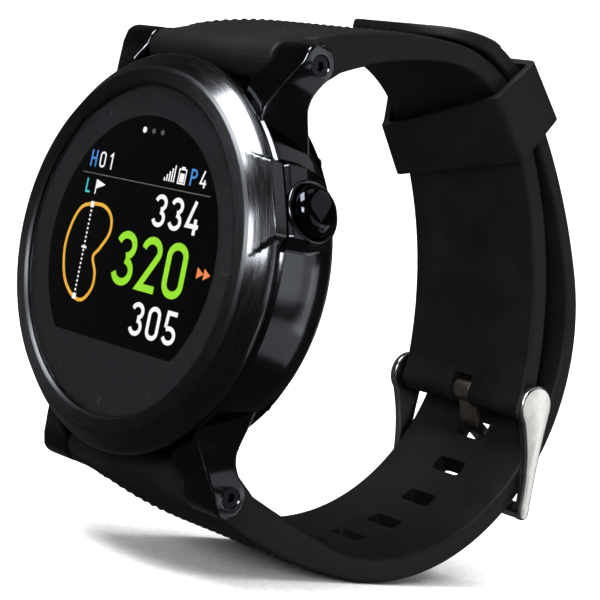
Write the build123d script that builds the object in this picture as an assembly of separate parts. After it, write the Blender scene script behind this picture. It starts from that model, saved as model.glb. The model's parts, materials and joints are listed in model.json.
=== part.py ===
from build123d import *
import math
import os

os.makedirs("parts", exist_ok=True)

# A golf GPS watch with its strap buckled into a loop. Everything is modelled lying dial up: the dial
# faces +Z, twelve o'clock is +Y, the button side is +X, and the outer face of the case back is Z = 0.
# save() stands the watch up, so that twelve o'clock is up and the dial faces -Y.

# ---- case and bezel ----
case_radius = 22.5          # widest radius of the mid-case
case_back_radius = case_radius - 1.9  # radius where the mid-case meets the back cover
case_top_z = 9.9            # seat of the bezel
cavity_radius = case_radius - 3.9  # room for the works
cavity_top_radius = case_radius - 4.9  # the display frame drops in through this mouth
cavity_floor_z = 1.7        # top of the back cover's plug
case_step_z = 9.0           # ledge that holds the display frame

bezel_gap = 0.25            # visible joint between case and bezel, filled by the gasket
bezel_radius = case_radius + 0.7  # widest radius of the bezel
bezel_face_radius = bezel_radius - 2.25  # outer edge of the raised rim
bezel_top_z = 14.02
bezel_wide_z = 11.6         # height of the widest line
bezel_seat_z = bezel_wide_z  # ledge under the glass
bezel_bore_radius = case_radius - 5.1  # window in the ledge

glass_radius = case_radius - 3.5
glass_top_z = 13.5
glass_thickness = 1.6
glass_fit = 0.05            # gap all round the glass
glass_gasket_thickness = 0.3

# ---- display stack ----
touch_thickness = 0.5
touch_fit = 0.2
display_radius = case_radius - 6.1
display_chord_y = 4.8 - display_radius  # flat lower edge of the display module
display_thickness = 1.3
display_frame_fit = 0.05
display_frame_thickness = 1.0
frame_window_radius = 13.5

# ---- works ----
board_radius = case_radius - 5.9
board_thickness = 0.9
board_z = 6.5
battery_length = 24.0
battery_width = 17.0
battery_y = -1.8
battery_thickness = 4.2
battery_fit = 0.25
stack_low_z = 2.0           # underside of the cell, its tray and the motor
tray_radius = case_radius - 5.6
motor_radius = 4.0
motor_thickness = 2.7
motor_y = 12.2
antenna_side = 11.0
antenna_thickness = 1.5
antenna_y = 8.4
shield_length = 13.0
shield_width = 10.0
shield_thickness = 1.4
shield_y = -5.0

# ---- case back ----
back_plate_thickness = 1.2
back_plug_radius = case_radius - 4.2
back_gasket_section = 0.5
back_screw_circle = case_radius - 3.05
back_screw_radius = 0.55
back_screw_head_radius = 0.95
back_screw_head_depth = 0.5
back_screw_length = 3.0
contact_pitch = 2.6
contact_count = 4
contact_pin_radius = 0.7
contact_block_length = 12.4
contact_block_width = 3.6
contact_y = -9.0

# ---- button ----
button_angle = 21.0         # degrees above three o'clock
button_z = 6.5
button_cap_radius = 2.95
button_cap_reach = case_radius + 2.8  # distance of the dome's top from the case axis
button_cap_seat = case_radius + 0.5  # distance of the cap's back face at rest
button_travel = 0.6
button_well_radius = button_cap_radius + 0.15
button_well_depth_r = case_radius - 0.9  # distance of the well's floor
button_stem_radius = 0.9
button_stem_end = case_radius - 4.4
stem_fit = 0.05
clip_radius = 1.7
clip_thickness = 0.4
seal_radius = 1.6
seal_thickness = 0.7
guard_face = case_radius + 1.1  # distance of the guard's flat face
guard_half = button_well_radius + 1.0  # half width of that face
guard_foot = 1.3            # the guard's sides spread by this much
switch_side = 3.2
switch_depth = 1.6
switch_plunger = 0.3        # how far its plunger stands out
switch_plunger_radius = 0.7
switch_gap = 0.1            # left in front of the plunger with the button pressed home
notch_gap = 0.3

# ---- lugs and strap bars ----
strap_width = 22.0
lug_inner_x = strap_width / 2 + 0.6
lug_outer_x = lug_inner_x + 5.5
bar_y = case_radius + 1.8
bar_z = 5.3
bar_radius = 0.9
bar_fit = 0.05
lug_screw_head_radius = 1.2
lug_screw_head_depth = 0.9
lug_screw_shank_radius = 0.5

# ---- strap ----
shoulder_width = strap_width + 2.2  # width just behind the lugs
strap_side_gap = 0.25       # between the strap's end and a lug
barrel_radius = 2.55        # strap end round the bar
strap_lug_gap = 0.4         # between a barrel and the case
strap_thickness = 2.6       # short strap, at its bend
bend_z = -21.2               # height of the bend's axis
bend_radius = 16.1          # inner surface at that bend
bend_y = 29.5 - bend_radius  # axis of the strap's upper bend
far_radius = 53.0           # inner surface of the short strap below the bend
bend_end = 39.0             # heading, in degrees, where bend and far stretch meet
tail_gap = 0.5              # between the short strap and the tail that lies on it
tail_thickness = 2.0
loop_y = bend_y - 18.1  # axis of the long strap's round stretch
loop_z = bend_z - 3.6
loop_radius = 27.0          # its inner surface
loop_extra = 2.45           # mean thickness of the long strap on the round stretch
loop_shift_y = -0.6         # the outer surface's axis is moved by this, so the strap thins to its tip
loop_shift_z = 0.25
bridge_radius = 75.0        # long strap between its round stretch and the bend
slot_count = 9
slot_pitch = 13.7           # degrees round the loop axis
slot_first = -91.4
slot_length = 5.0           # across the strap
slot_width = 3.2            # along the strap
slot_end_radius = 0.6
tip_heading = 98.0          # place of the tail's tip round the bend axis
tip_thickness = 1.2
taper_heading = 74.0        # the tail thins from here to its tip
tip_round = 9.0

# ---- buckle ----
pin_y = -10.3
pin_z = -47.2
pin_radius = 0.75
pin_fit = 0.05
pin_barrel_radius = 2.0
tang_width = 3.0
tang_thickness = 1.2
tang_eye_radius = 1.6
tang_notch_gap = 0.3
tang_rest_gap = 0.02        # between the tang and the cross bar that it rests on
tang_overhang = 0.9
tang_inner_clear = 0.9      # its middle line's bends, inside and outside the long strap
tang_outer_clear = 0.95
tang_bend_radius = 0.65
plate_thickness = 1.15
plate_gap = 0.35            # between the strap's edge and a side plate
plate_end_radius = 2.9
frame_bar_heading = -38.5   # place of the cross bar round the loop axis
frame_bar_gap = 0.45        # between the bar and the strap
frame_bar_radius = 1.05
tang_slot_index = 5
tang_slot_shift = -0.4      # degrees from the slot's middle, so its play is the same both ways

# ---- keeper ----
keeper_heading = 46.5       # its middle, round the bend axis
keeper_length = 8.8
keeper_wall = 0.95
keeper_side_wall = 1.2
keeper_gap = 0.4
keeper_side_gap = 0.3


def heading_normal(heading):
    """Outward normal, in the YZ plane, of a curve that runs at this heading in degrees."""
    turn = math.radians(heading)
    return Vector(0, math.sin(turn), -math.cos(turn))


def on_circle(centre, radius, heading):
    return centre + heading_normal(heading) * radius


def side_point(point):
    """A point of the YZ plane in the local axes of Plane.YZ."""
    return (point.Y, point.Z)


def arc_through(centre, radius, heading_a, heading_b):
    middle = (heading_a + heading_b) / 2
    stops = [on_circle(centre, radius, h) for h in (heading_a, middle, heading_b)]
    return ThreePointArc(*[side_point(stop) for stop in stops])


def bridge(centre_a, radius_a, centre_b, radius_b, radius):
    """Centre and two headings of an arc that joins two circles which it holds inside itself."""
    apart = centre_b - centre_a
    reach_a = radius - radius_a
    reach_b = radius - radius_b
    along = (reach_a**2 - reach_b**2 + apart.length**2) / (2 * apart.length)
    across = math.sqrt(reach_a**2 - along**2)
    unit = apart.normalized()
    centre = centre_a + unit * along + Vector(0, -unit.Z, unit.Y) * across
    headings = []
    for end in (centre_a, centre_b):
        spoke = end - centre
        headings.append(math.degrees(math.atan2(spoke.Y, -spoke.Z)))
    return centre, headings[0], headings[1]


def disc(radius, low, high):
    return Pos(0, 0, (low + high) / 2) * Cylinder(radius, high - low)


def ring(outer, inner, low, high):
    return disc(outer, low, high) - disc(inner, low - 1, high + 1)


def block(x0, x1, y0, y1, z0, z1):
    middle = Pos((x0 + x1) / 2, (y0 + y1) / 2, (z0 + z1) / 2)
    return middle * Box(x1 - x0, y1 - y0, z1 - z0)


def across(x0, x1, y, z, radius):
    """A round bar along X."""
    return Pos((x0 + x1) / 2, y, z) * Rot(0, 90, 0) * Cylinder(radius, x1 - x0)


def side_slab(face, x0, x1):
    """A face drawn on Plane.YZ, made solid from x0 to x1."""
    return Pos(x0, 0, 0) * extrude(face, x1 - x0)


def turned(points):
    """A solid turned round Z from straight-sided (radius, height) points."""
    return revolve(Plane.XZ * make_face(Polyline(*points, close=True)), Axis.Z)


def radial(solid, distance):
    """Places a solid drawn along +Z with its foot at this distance out along the button's axis."""
    return Rot(0, 0, button_angle) * Pos(distance, 0, button_z) * Rot(0, 90, 0) * solid


def radial_rod(radius, start, end):
    return radial(Pos(0, 0, (end - start) / 2) * Cylinder(radius, end - start), start)


# The solid is stood up and written, one file for each piece.
def save(name, solids):
    stand = Rot(90, 0, 0)
    group = solids if isinstance(solids, list) else [solids]
    stood = []
    for solid in group:
        stood += (stand * solid).solids()
    export_step(stood[0] if len(stood) == 1 else Compound(children=stood), "parts/" + name + ".step")


# ---- case ----
bend_axis = Vector(0, bend_y, bend_z)
loop_axis = Vector(0, loop_y, loop_z)
pin_axis = Vector(0, pin_y, pin_z)
tail_in = bend_radius + strap_thickness + tail_gap
tail_out = tail_in + tail_thickness
bezel_low_z = case_top_z + bezel_gap
barrel_clear = barrel_radius + strap_lug_gap


def lug_profile():
    """Side outline of the lug at twelve o'clock, drawn round the strap bar."""
    with BuildSketch() as outline:
        with BuildLine():
            crest = Spline((bar_y - 10.3, 12.6), (bar_y - 5.7, 12.3), (bar_y + 0.3, 8.6),
                           (bar_y + 2.35, bar_z + 1.1))
            nose = ThreePointArc(crest @ 1, (bar_y + 2.1, bar_z - 1.2), (bar_y, bar_z - 2.15))
            belly = Spline(nose @ 1, (bar_y - 1.9, 4.4), (bar_y - 3.9, 5.6), (bar_y - 5.9, 5.5),
                           (bar_y - 10.3, 4.0))
            Line(belly @ 1, crest @ 0)
        make_face()
    return outline.sketch


def make_lugs():
    upper = side_slab(Plane.YZ * lug_profile(), lug_inner_x, lug_outer_x)
    upper = chamfer(upper.faces().sort_by(Axis.X)[-1].edges().filter_by(GeomType.BSPLINE), 0.35)
    right = upper + mirror(upper, Plane.XZ)
    return right + mirror(right, Plane.YZ)


def make_guard(face, low, high):
    """Flat-faced swelling beside the button."""
    half = guard_half + guard_foot
    foot = face - guard_foot * 1.7
    plan = make_face(Polyline((10, -half), (foot, -half), (face, -guard_half), (face, guard_half),
                              (foot, half), (10, half), close=True))
    return Rot(0, 0, button_angle) * Pos(0, 0, low) * extrude(plan, high - low)


def make_main_case():
    barrel = turned([(12, 1.2), (case_back_radius, 1.2), (case_radius - 0.75, 1.7), (case_radius - 0.2, 4.0), (case_radius, 6.2),
                     (case_radius, case_top_z - 0.35), (case_radius - 0.35, case_top_z), (12, case_top_z)])
    guard = make_guard(guard_face, 2.6, case_top_z)
    guard = chamfer(guard.faces().sort_by(Axis.Z)[0].edges(), 0.5)
    lugs = make_lugs() - disc(bezel_radius + 0.15, case_top_z, 20)
    solid = barrel + guard + lugs
    solid -= disc(cavity_radius, 0, case_step_z)
    solid -= disc(cavity_top_radius, case_step_z - 1, case_top_z + 1)
    half = lug_inner_x
    for side in (1, -1):
        solid -= across(-half, half, side * bar_y, bar_z, barrel_clear)
        y0, y1 = sorted((side * (bar_y - barrel_clear), side * (bar_y + 9)))
        solid -= block(-half, half, y0, y1, -9, bar_z)
        solid -= block(-half, half, y0, y1, bar_z - 1, bar_z + barrel_clear - 0.6)
        for hand in (1, -1):
            x0, x1 = sorted((hand * (lug_inner_x - 1), hand * (lug_outer_x + 1)))
            solid -= across(x0, x1, side * bar_y, bar_z, bar_radius)
            x0 = hand * (lug_outer_x - lug_screw_head_depth)
            x0, x1 = sorted((x0, hand * (lug_outer_x + 1)))
            solid -= across(x0, x1, side * bar_y, bar_z, lug_screw_head_radius)
    solid -= radial_rod(button_well_radius, button_well_depth_r, 30)
    solid -= radial_rod(button_stem_radius + stem_fit, 15, 30)
    solid -= radial_rod(seal_radius, button_well_depth_r - seal_thickness - 0.3, button_well_depth_r)
    for place in back_screw_places():
        solid -= place * Cylinder(back_screw_radius, 2 * back_screw_length)
    return solid


def back_screw_places():
    return [Rot(0, 0, 45 + 90 * i) * Pos(back_screw_circle, 0, 0) for i in range(4)]


def make_bezel_ring():
    solid = turned([(bezel_bore_radius, bezel_low_z), (bezel_radius - 0.9, bezel_low_z),
                    (bezel_radius - 0.45, bezel_low_z + 0.35),
                    (bezel_radius, bezel_wide_z - 0.3), (bezel_radius, bezel_wide_z),
                    (bezel_radius - 0.3, bezel_wide_z + 0.5), (bezel_face_radius + 0.25, bezel_top_z - 0.3),
                    (bezel_face_radius - 0.1, bezel_top_z - 0.05), (bezel_face_radius - 0.35, bezel_top_z),
                    (glass_radius + glass_fit + 0.3, bezel_top_z), (glass_radius + glass_fit, 13.75),
                    (glass_radius + glass_fit, bezel_seat_z), (bezel_bore_radius, bezel_seat_z)])
    flare = turned([(bezel_bore_radius + 2, bezel_low_z), (guard_face + 1.2, bezel_low_z),
                    (guard_face + 1.2, bezel_wide_z - 0.3), (bezel_face_radius + 0.8, bezel_top_z - 0.6),
                    (bezel_bore_radius + 2, bezel_top_z - 0.6)])
    return solid + (make_guard(guard_face, bezel_low_z, bezel_top_z) & flare)


def make_glass():
    solid = disc(glass_radius, glass_top_z - glass_thickness, glass_top_z)
    return chamfer(solid.faces().sort_by(Axis.Z)[-1].edges(), 0.2)


def make_display_stack():
    glass_back = glass_top_z - glass_thickness
    touch_radius = bezel_bore_radius - touch_fit
    touch = disc(touch_radius, glass_back - touch_thickness, glass_back)
    panel_top = glass_back - touch_thickness
    panel_low = panel_top - display_thickness
    panel = disc(display_radius, panel_low, panel_top)
    panel -= block(-30, 30, -30, display_chord_y, panel_low - 1, panel_top + 1)
    frame_radius = cavity_top_radius - display_frame_fit
    frame = disc(frame_radius, panel_low - display_frame_thickness, panel_low)
    frame -= disc(frame_window_radius, 0, panel_low + 1)
    flex_y = display_chord_y - 0.6
    flex_low = board_z + board_thickness
    frame -= block(-5.4, 5.4, -30, flex_y + 0.9, 0, panel_low + 1)
    frame -= button_notch(panel_low + 1)
    flex = block(-4.5, 4.5, flex_y - 0.2, display_chord_y, panel_low + 0.3, panel_low + 0.6)
    flex += block(-4.5, 4.5, flex_y - 0.2, flex_y + 0.1, flex_low, panel_low + 0.6)
    flex += block(-4.5, 4.5, flex_y - 0.2, flex_y + 1.6, flex_low, flex_low + 0.25)
    return touch, panel, frame, flex


def switch_face():
    """Distance of the switch's front, without its plunger."""
    return button_stem_end - button_travel - switch_gap - switch_plunger


def button_notch(top):
    """Room that the board and the trays leave for the button's stem and switch."""
    half = switch_side / 2 + notch_gap
    notch = block(switch_face() - switch_depth - notch_gap, 30, -half, half, 0, top)
    return Rot(0, 0, button_angle) * notch


def make_board():
    solid = disc(board_radius, board_z, board_z + board_thickness)
    return solid - button_notch(board_z + board_thickness + 1)


def make_antenna():
    low = board_z + board_thickness
    half = antenna_side / 2
    solid = block(-half - 2, half - 2, antenna_y - half, antenna_y + half, low, low + antenna_thickness)
    return chamfer(solid.edges().filter_by(Axis.Z), 0.6)


def make_shield():
    low = board_z + board_thickness
    box = Pos(0, shield_y, low + shield_thickness / 2) * Box(shield_length, shield_width, shield_thickness)
    box = fillet(box.edges().filter_by(Axis.Z), 0.5)
    inner = Pos(0, shield_y, low) * Box(shield_length - 0.4, shield_width - 0.4, 2 * shield_thickness - 0.4)
    return box - inner


def make_battery():
    middle = Pos(0, battery_y, stack_low_z + battery_thickness / 2)
    solid = middle * Box(battery_length, battery_width, battery_thickness)
    return fillet(solid.edges().filter_by(Axis.Z), 1.2)


def make_tray():
    solid = disc(tray_radius, stack_low_z, board_z)
    pocket = Box(battery_length + 2 * battery_fit, battery_width + 2 * battery_fit, 30)
    solid -= Pos(0, battery_y, 0) * pocket
    solid -= Pos(0, motor_y, 0) * Cylinder(motor_radius + battery_fit, 30)
    return solid - button_notch(board_z + 1)


def make_motor():
    solid = Pos(0, motor_y, 0) * disc(motor_radius, stack_low_z, stack_low_z + motor_thickness)
    return chamfer(solid.edges().filter_by(GeomType.CIRCLE), 0.2)


def make_switch():
    """Side switch whose plunger faces the end of the button's stem."""
    body = Pos(0, 0, -switch_depth / 2) * Box(switch_side, switch_side, switch_depth)
    plunger = radial_rod(switch_plunger_radius, switch_face() - 0.2, switch_face() + switch_plunger)
    return radial(body, switch_face()) + plunger


# ---- back ----
def make_case_back():
    solid = disc(case_back_radius - 0.1, 0, back_plate_thickness)
    solid = chamfer(solid.faces().sort_by(Axis.Z)[0].edges(), 0.6)
    solid += disc(back_plug_radius, 0.3, cavity_floor_z)
    solid -= ring(back_plug_radius - 0.6, back_plug_radius - 1.1, cavity_floor_z - 0.3, cavity_floor_z + 1)
    solid -= contact_space(0.0)
    for place in back_screw_places():
        solid -= place * Cylinder(back_screw_radius + 0.1, 4)
        solid -= place * Cylinder(back_screw_head_radius + 0.05, 2 * back_screw_head_depth)
    return solid


def contact_space(gap):
    half_x = contact_block_length / 2 + gap
    half_y = contact_block_width / 2 + gap
    solid = block(-half_x, half_x, contact_y - half_y, contact_y + half_y, -1, cavity_floor_z + 1)
    return fillet(solid.edges().filter_by(Axis.Z), 1.2)


def contact_places():
    start = -contact_pitch * (contact_count - 1) / 2
    return [Pos(start + contact_pitch * i, contact_y, 0) for i in range(contact_count)]


def make_contacts():
    blank = contact_space(0.0) & disc(back_plug_radius, 0.1, cavity_floor_z)
    pins = []
    for place in contact_places():
        pins.append(place * (disc(contact_pin_radius, 0.05, cavity_floor_z)))
        blank -= pins[-1]
    return blank, pins


def make_back_gasket():
    section = back_gasket_section
    return ring(back_plug_radius - 0.6, back_plug_radius - 1.1, cavity_floor_z - 0.3,
                cavity_floor_z - 0.3 + section)


def make_back_screws():
    screws = []
    for place in back_screw_places():
        shank = place * disc(back_screw_radius, 0.4, back_screw_length)
        head = place * disc(back_screw_head_radius, 0.05, back_screw_head_depth)
        cross = place * (Box(1.2, 0.25, 0.5) + Box(0.25, 1.2, 0.5))
        screws.append(shank + head - cross)
    return screws


# ---- button ----
def make_button_cap():
    height = button_cap_reach - button_cap_seat
    cap = Pos(0, 0, height / 2) * Cylinder(button_cap_radius, height)
    cap = fillet(cap.faces().sort_by(Axis.Z)[-1].edges(), height * 0.62)
    cap = radial(cap, button_cap_seat)
    return cap + radial_rod(button_stem_radius, button_stem_end, button_cap_seat + 0.2)


def make_button_parts():
    spring_low = button_well_depth_r
    wire = 0.2
    coil_radius = 1.5
    length = button_cap_seat - spring_low
    coil = Helix(pitch=(length - 2 * wire) / 3, height=length - 2 * wire, radius=coil_radius)
    section = Plane(origin=coil @ 0, z_dir=coil % 0) * Circle(wire)
    spring = radial(Pos(0, 0, wire) * sweep(section, path=coil), spring_low)
    inner = button_stem_radius + stem_fit
    seal = radial_rod(seal_radius, spring_low - seal_thickness - 0.3, spring_low - 0.3)
    seal -= radial_rod(inner, 15, 30)
    clip_end = cavity_radius - 0.05
    groove = clip_end - clip_thickness
    clip = radial_rod(clip_radius, groove - 0.05, clip_end - 0.05)
    clip -= radial_rod(button_stem_radius, 15, 30)
    return spring, seal, clip


# ---- strap bars ----
def make_bar(side):
    end = lug_outer_x - lug_screw_head_depth
    solid = across(-end, end, side * bar_y, bar_z, bar_radius)
    return solid - across(-end - 1, end + 1, side * bar_y, bar_z, lug_screw_shank_radius)


def make_lug_screws(side):
    screws = []
    end = lug_outer_x - lug_screw_head_depth
    for hand in (1, -1):
        x0, x1 = sorted((hand * end, hand * (lug_outer_x - 0.1)))
        head = across(x0, x1, side * bar_y, bar_z, lug_screw_head_radius - 0.03)
        x0, x1 = sorted((hand * (end - 3.5), hand * end))
        shank = across(x0, x1, side * bar_y, bar_z, lug_screw_shank_radius)
        socket = Pos(hand * lug_outer_x, side * bar_y, bar_z) * Rot(0, 90, 0)
        socket = socket * extrude(RegularPolygon(0.6, 6), 0.55, both=True)
        screws.append(head + shank - socket)
    return screws


# ---- strap ----
def strap_envelope(width):
    """Plan outline of a strap, drawn on XZ: narrow between the lugs, wide at its shoulders."""
    neck = lug_inner_x - strap_side_gap
    half = shoulder_width / 2
    shoulder_z = bar_z - 2.75
    right = [(neck, 30), (neck, shoulder_z), (half, shoulder_z - 0.4), (half, -1.5), (width / 2, -20),
             (width / 2, -60)]
    left = [(-x, z) for x, z in reversed(right)]
    outline = Plane.XZ * make_face(Polyline(*right, *left, close=True))
    return extrude(outline, 60, both=True)


def short_strap_profile():
    outer = bend_radius + strap_thickness
    far_axis = bend_axis - heading_normal(bend_end) * (far_radius - bend_radius)
    far_end = math.degrees(math.asin((pin_y - far_axis.Y) / far_radius))
    top_in = on_circle(bend_axis, bend_radius, 91.0)
    top_out = on_circle(bend_axis, outer, 94.0)
    with BuildSketch() as outline:
        with BuildLine():
            inner_top = arc_through(bend_axis, bend_radius, 91.0, bend_end)
            inner_far = arc_through(far_axis, far_radius, bend_end, far_end)
            outer_far = arc_through(far_axis, far_radius + strap_thickness, far_end, bend_end)
            outer_top = arc_through(bend_axis, outer, bend_end, 94.0)
            Line(inner_far @ 1, outer_far @ 0)
            back = ThreePointArc(side_point(top_out), (31.3, -11.0), (bar_y + 4.3, 0.4))
            crown = Line(back @ 1, (bar_y + barrel_radius, bar_z))
            neck = Line(crown @ 1, (bar_y - barrel_radius, bar_z))
            throat = Line(neck @ 1, (bar_y - barrel_radius + 0.2, 1.2))
            belly = Line(throat @ 1, (24.7, -2.5))
            ThreePointArc(belly @ 1, (28.0, -12.0), side_point(top_in))
        make_face()
    return outline.sketch


def strap_bore(side):
    return across(-30, 30, side * bar_y, bar_z, bar_radius + bar_fit)


def make_short_strap():
    solid = side_slab(Plane.YZ * short_strap_profile(), -15, 15)
    solid += across(-15, 15, bar_y, bar_z, barrel_radius)
    solid += across(-15, 15, pin_y, pin_z, pin_barrel_radius)
    solid = solid & strap_envelope(strap_width)
    solid -= strap_bore(1)
    solid -= across(-15, 15, pin_y, pin_z, pin_radius + pin_fit)
    half = tang_width / 2 + tang_notch_gap
    notch_top = pin_y + tang_eye_radius + 0.5
    return solid - block(-half, half, pin_y - 9, notch_top, pin_z - 6, pin_z + 6)


def long_strap_profile():
    outer_axis = loop_axis + Vector(0, loop_shift_y, loop_shift_z)
    outer_radius = loop_radius + loop_extra
    in_axis, in_a, in_b = bridge(loop_axis, loop_radius, bend_axis, tail_in, bridge_radius)
    out_axis, out_a, out_b = bridge(outer_axis, outer_radius, bend_axis, tail_out,
                                    bridge_radius + tail_thickness)
    tip_out = side_point(on_circle(bend_axis, tail_in + tip_thickness, tip_heading))
    mean_out = tail_in + (tail_thickness + tip_thickness) / 2
    taper_mid = side_point(on_circle(bend_axis, mean_out, (tip_heading + taper_heading) / 2))
    with BuildSketch() as outline:
        with BuildLine():
            root_in = Line((-bar_y + barrel_radius, bar_z), (-bar_y + barrel_radius - 0.2, 1.2))
            root_low = Line(root_in @ 1, (-bar_y - 0.6, -2.5))
            round_in = arc_through(loop_axis, loop_radius, -101.0, in_a)
            ThreePointArc(root_low @ 1, (-28.3, -11.2), round_in @ 0)
            arc_through(in_axis, bridge_radius, in_a, in_b)
            bend_in = arc_through(bend_axis, tail_in, in_b, tip_heading)
            Line(bend_in @ 1, tip_out)
            bend_out = arc_through(bend_axis, tail_out, out_b, taper_heading)
            ThreePointArc(bend_out @ 1, taper_mid, tip_out)
            arc_through(out_axis, bridge_radius + tail_thickness, out_a, out_b)
            round_out = arc_through(outer_axis, outer_radius, -101.0, out_a)
            root_out = ThreePointArc(round_out @ 0, (-32.15, -9.4), (-bar_y - 4.3, 0.4))
            Line(root_out @ 1, (-bar_y - barrel_radius, bar_z))
            Line((-bar_y - barrel_radius, bar_z), (-bar_y + barrel_radius, bar_z))
        make_face()
    return outline.sketch


def tip_cutter():
    """Everything outside a tail of the strap's width whose tip is rounded, seen from outside."""
    half = strap_width / 2
    tip_z = on_circle(bend_axis, tail_in, tip_heading).Z
    tail = block(-half, half, 27, 40, -60, tip_z)
    tail = fillet(tail.edges().filter_by(Axis.Y).group_by(Axis.Z)[-1], tip_round)
    return block(-20, 20, 27, 40, tip_z - tip_round, 0.5) - tail


def slot_heading(index):
    return slot_first + slot_pitch * index


def make_slot(index):
    turn = slot_heading(index)
    cutter = Box(slot_length, slot_width, 8)
    cutter = fillet(cutter.edges().filter_by(Axis.Z), slot_end_radius)
    place = Pos(0, loop_y, loop_z) * Rot(turn, 0, 0) * Pos(0, 0, -loop_radius - 1)
    return place * cutter


def make_long_strap():
    solid = side_slab(Plane.YZ * long_strap_profile(), -15, 15)
    solid += across(-15, 15, -bar_y, bar_z, barrel_radius)
    solid = solid & strap_envelope(strap_width)
    solid -= strap_bore(-1)
    solid -= tip_cutter()
    for index in range(slot_count):
        solid -= make_slot(index)
    return solid


# ---- buckle ----
def frame_bar_axis():
    reach = loop_radius + loop_extra + 0.15 + frame_bar_gap + frame_bar_radius
    return on_circle(loop_axis, reach, frame_bar_heading)


def plate_profile():
    bar = frame_bar_axis()
    end = plate_end_radius
    with BuildSketch() as outline:
        with BuildLine():
            CenterArc((pin_y, pin_z), end, -95, 235)
            outer_low = (pin_y + end * math.cos(math.radians(-95)), pin_z + end * math.sin(math.radians(-95)))
            outer_far = (bar.Y - 0.35, bar.Z - frame_bar_radius)
            inner_far = (bar.Y - 0.1, bar.Z + frame_bar_radius)
            inner_low = (pin_y + end * math.cos(math.radians(140)), pin_z + end * math.sin(math.radians(140)))
            ThreePointArc(outer_low, ((outer_low[0] + outer_far[0]) / 2 - 0.3, pin_z - end + 0.25), outer_far)
            ThreePointArc(outer_far, (bar.Y - frame_bar_radius - 0.1, bar.Z), inner_far)
            ThreePointArc(inner_far, ((inner_far[0] + inner_low[0]) / 2, pin_z - 0.25), inner_low)
        make_face()
    return outline.sketch


def make_buckle_frame():
    inner = strap_width / 2 + plate_gap
    outer = inner + plate_thickness
    plate = side_slab(Plane.YZ * plate_profile(), inner, outer)
    plate = fillet(plate.faces().sort_by(Axis.X)[-1].edges(), 0.3)
    plate -= across(inner - 1, inner + plate_thickness * 0.6, pin_y, pin_z, pin_radius)
    bar = frame_bar_axis()
    rod = across(-inner - 0.3, inner + 0.3, bar.Y, bar.Z, frame_bar_radius)
    return plate + mirror(plate, Plane.YZ) + rod


def make_buckle_pin():
    end = strap_width / 2 + plate_gap + plate_thickness * 0.6
    return across(-end, end, pin_y, pin_z, pin_radius)


def tang_path():
    """Middle line of the tang: out of its eye, through its slot, then over the cross bar."""
    heading = slot_heading(tang_slot_index) + tang_slot_shift
    inside = on_circle(loop_axis, loop_radius - tang_inner_clear, heading + 1.2)
    outside = on_circle(loop_axis, loop_radius + loop_extra + tang_outer_clear, heading)
    spoke = frame_bar_axis() - outside
    rise = frame_bar_radius + tang_thickness / 2 + tang_rest_gap
    turn = math.atan2(spoke.Z, spoke.Y) + math.asin(rise / spoke.length)
    reach = spoke.length + tang_overhang
    tip = outside + Vector(0, reach * math.cos(turn), reach * math.sin(turn))
    return [pin_axis, inside, outside, tip]


def make_tang():
    spine = Plane.YZ * FilletPolyline(*[side_point(point) for point in tang_path()], radius=tang_bend_radius)
    start = Plane(origin=spine @ 0, x_dir=(1, 0, 0), z_dir=spine % 0)
    shank = sweep(start * Rectangle(tang_width, tang_thickness), path=spine)
    eye = across(-tang_width / 2, tang_width / 2, pin_y, pin_z, tang_eye_radius)
    return shank + eye - across(-15, 15, pin_y, pin_z, pin_radius + pin_fit)


# ---- keeper ----
def make_keeper():
    """A flat-sided loop whose opening is curved like the two straps that run through it."""
    low = bend_radius - keeper_gap
    high = bend_radius + strap_thickness + tail_gap + tail_thickness + keeper_gap
    sag = low * (1 - math.cos(math.asin(keeper_length / 2 / low)))
    base = low - sag - keeper_wall
    top = high + keeper_wall
    width = strap_width + 2 * keeper_side_gap
    outer = Box(width + 2 * keeper_side_wall, keeper_length, top - base)
    outer = fillet(outer.edges().filter_by(Axis.Y), 0.9)
    place = Pos(0, bend_y, bend_z) * Rot(keeper_heading, 0, 0)
    outer = place * Pos(0, 0, -(base + top) / 2) * outer
    opening = across(-width / 2, width / 2, bend_y, bend_z, high)
    opening -= across(-width / 2 - 1, width / 2 + 1, bend_y, bend_z, low)
    return outer - opening


case = make_main_case()
save("main_case", case)
save("bezel_ring", make_bezel_ring())
save("bezel_gasket", ring(cavity_top_radius + 3.4, cavity_top_radius + 0.6, case_top_z, bezel_low_z))
save("cover_glass", make_glass())
save("glass_gasket", ring(glass_radius - 0.2, bezel_bore_radius + 0.2, bezel_seat_z,
                          bezel_seat_z + glass_gasket_thickness))
touch, panel, frame, flex = make_display_stack()
save("touch_panel", touch)
save("display_panel", panel)
save("display_frame", frame)
save("display_flex", flex)
save("main_board", make_board())
save("gps_antenna", make_antenna())
save("shield_can", make_shield())
save("tact_switch", make_switch())
save("battery", make_battery())
save("battery_tray", make_tray())
save("vibration_motor", make_motor())

save("case_back", make_case_back())
contact_block, contact_pins = make_contacts()
save("contact_block", contact_block)
save("contact_pins", contact_pins)
save("back_gasket", make_back_gasket())
save("back_screws", make_back_screws())

save("button_cap", make_button_cap())
spring, seal, clip = make_button_parts()
save("button_spring", spring)
save("button_seal", seal)
save("button_clip", clip)

for hour, side in (("12", 1), ("6", -1)):
    save("strap_bar_" + hour, make_bar(side))
    save("lug_screws_" + hour, make_lug_screws(side))

save("strap_12", make_short_strap())
save("strap_6", make_long_strap())
save("buckle_frame", make_buckle_frame())
save("buckle_pin", make_buckle_pin())
save("buckle_tang", make_tang())
save("keeper", make_keeper())
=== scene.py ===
import json
import math

import bmesh
import bpy
from bpy.props import FloatProperty, FloatVectorProperty, IntProperty, PointerProperty
from mathutils import Matrix, Vector


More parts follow.
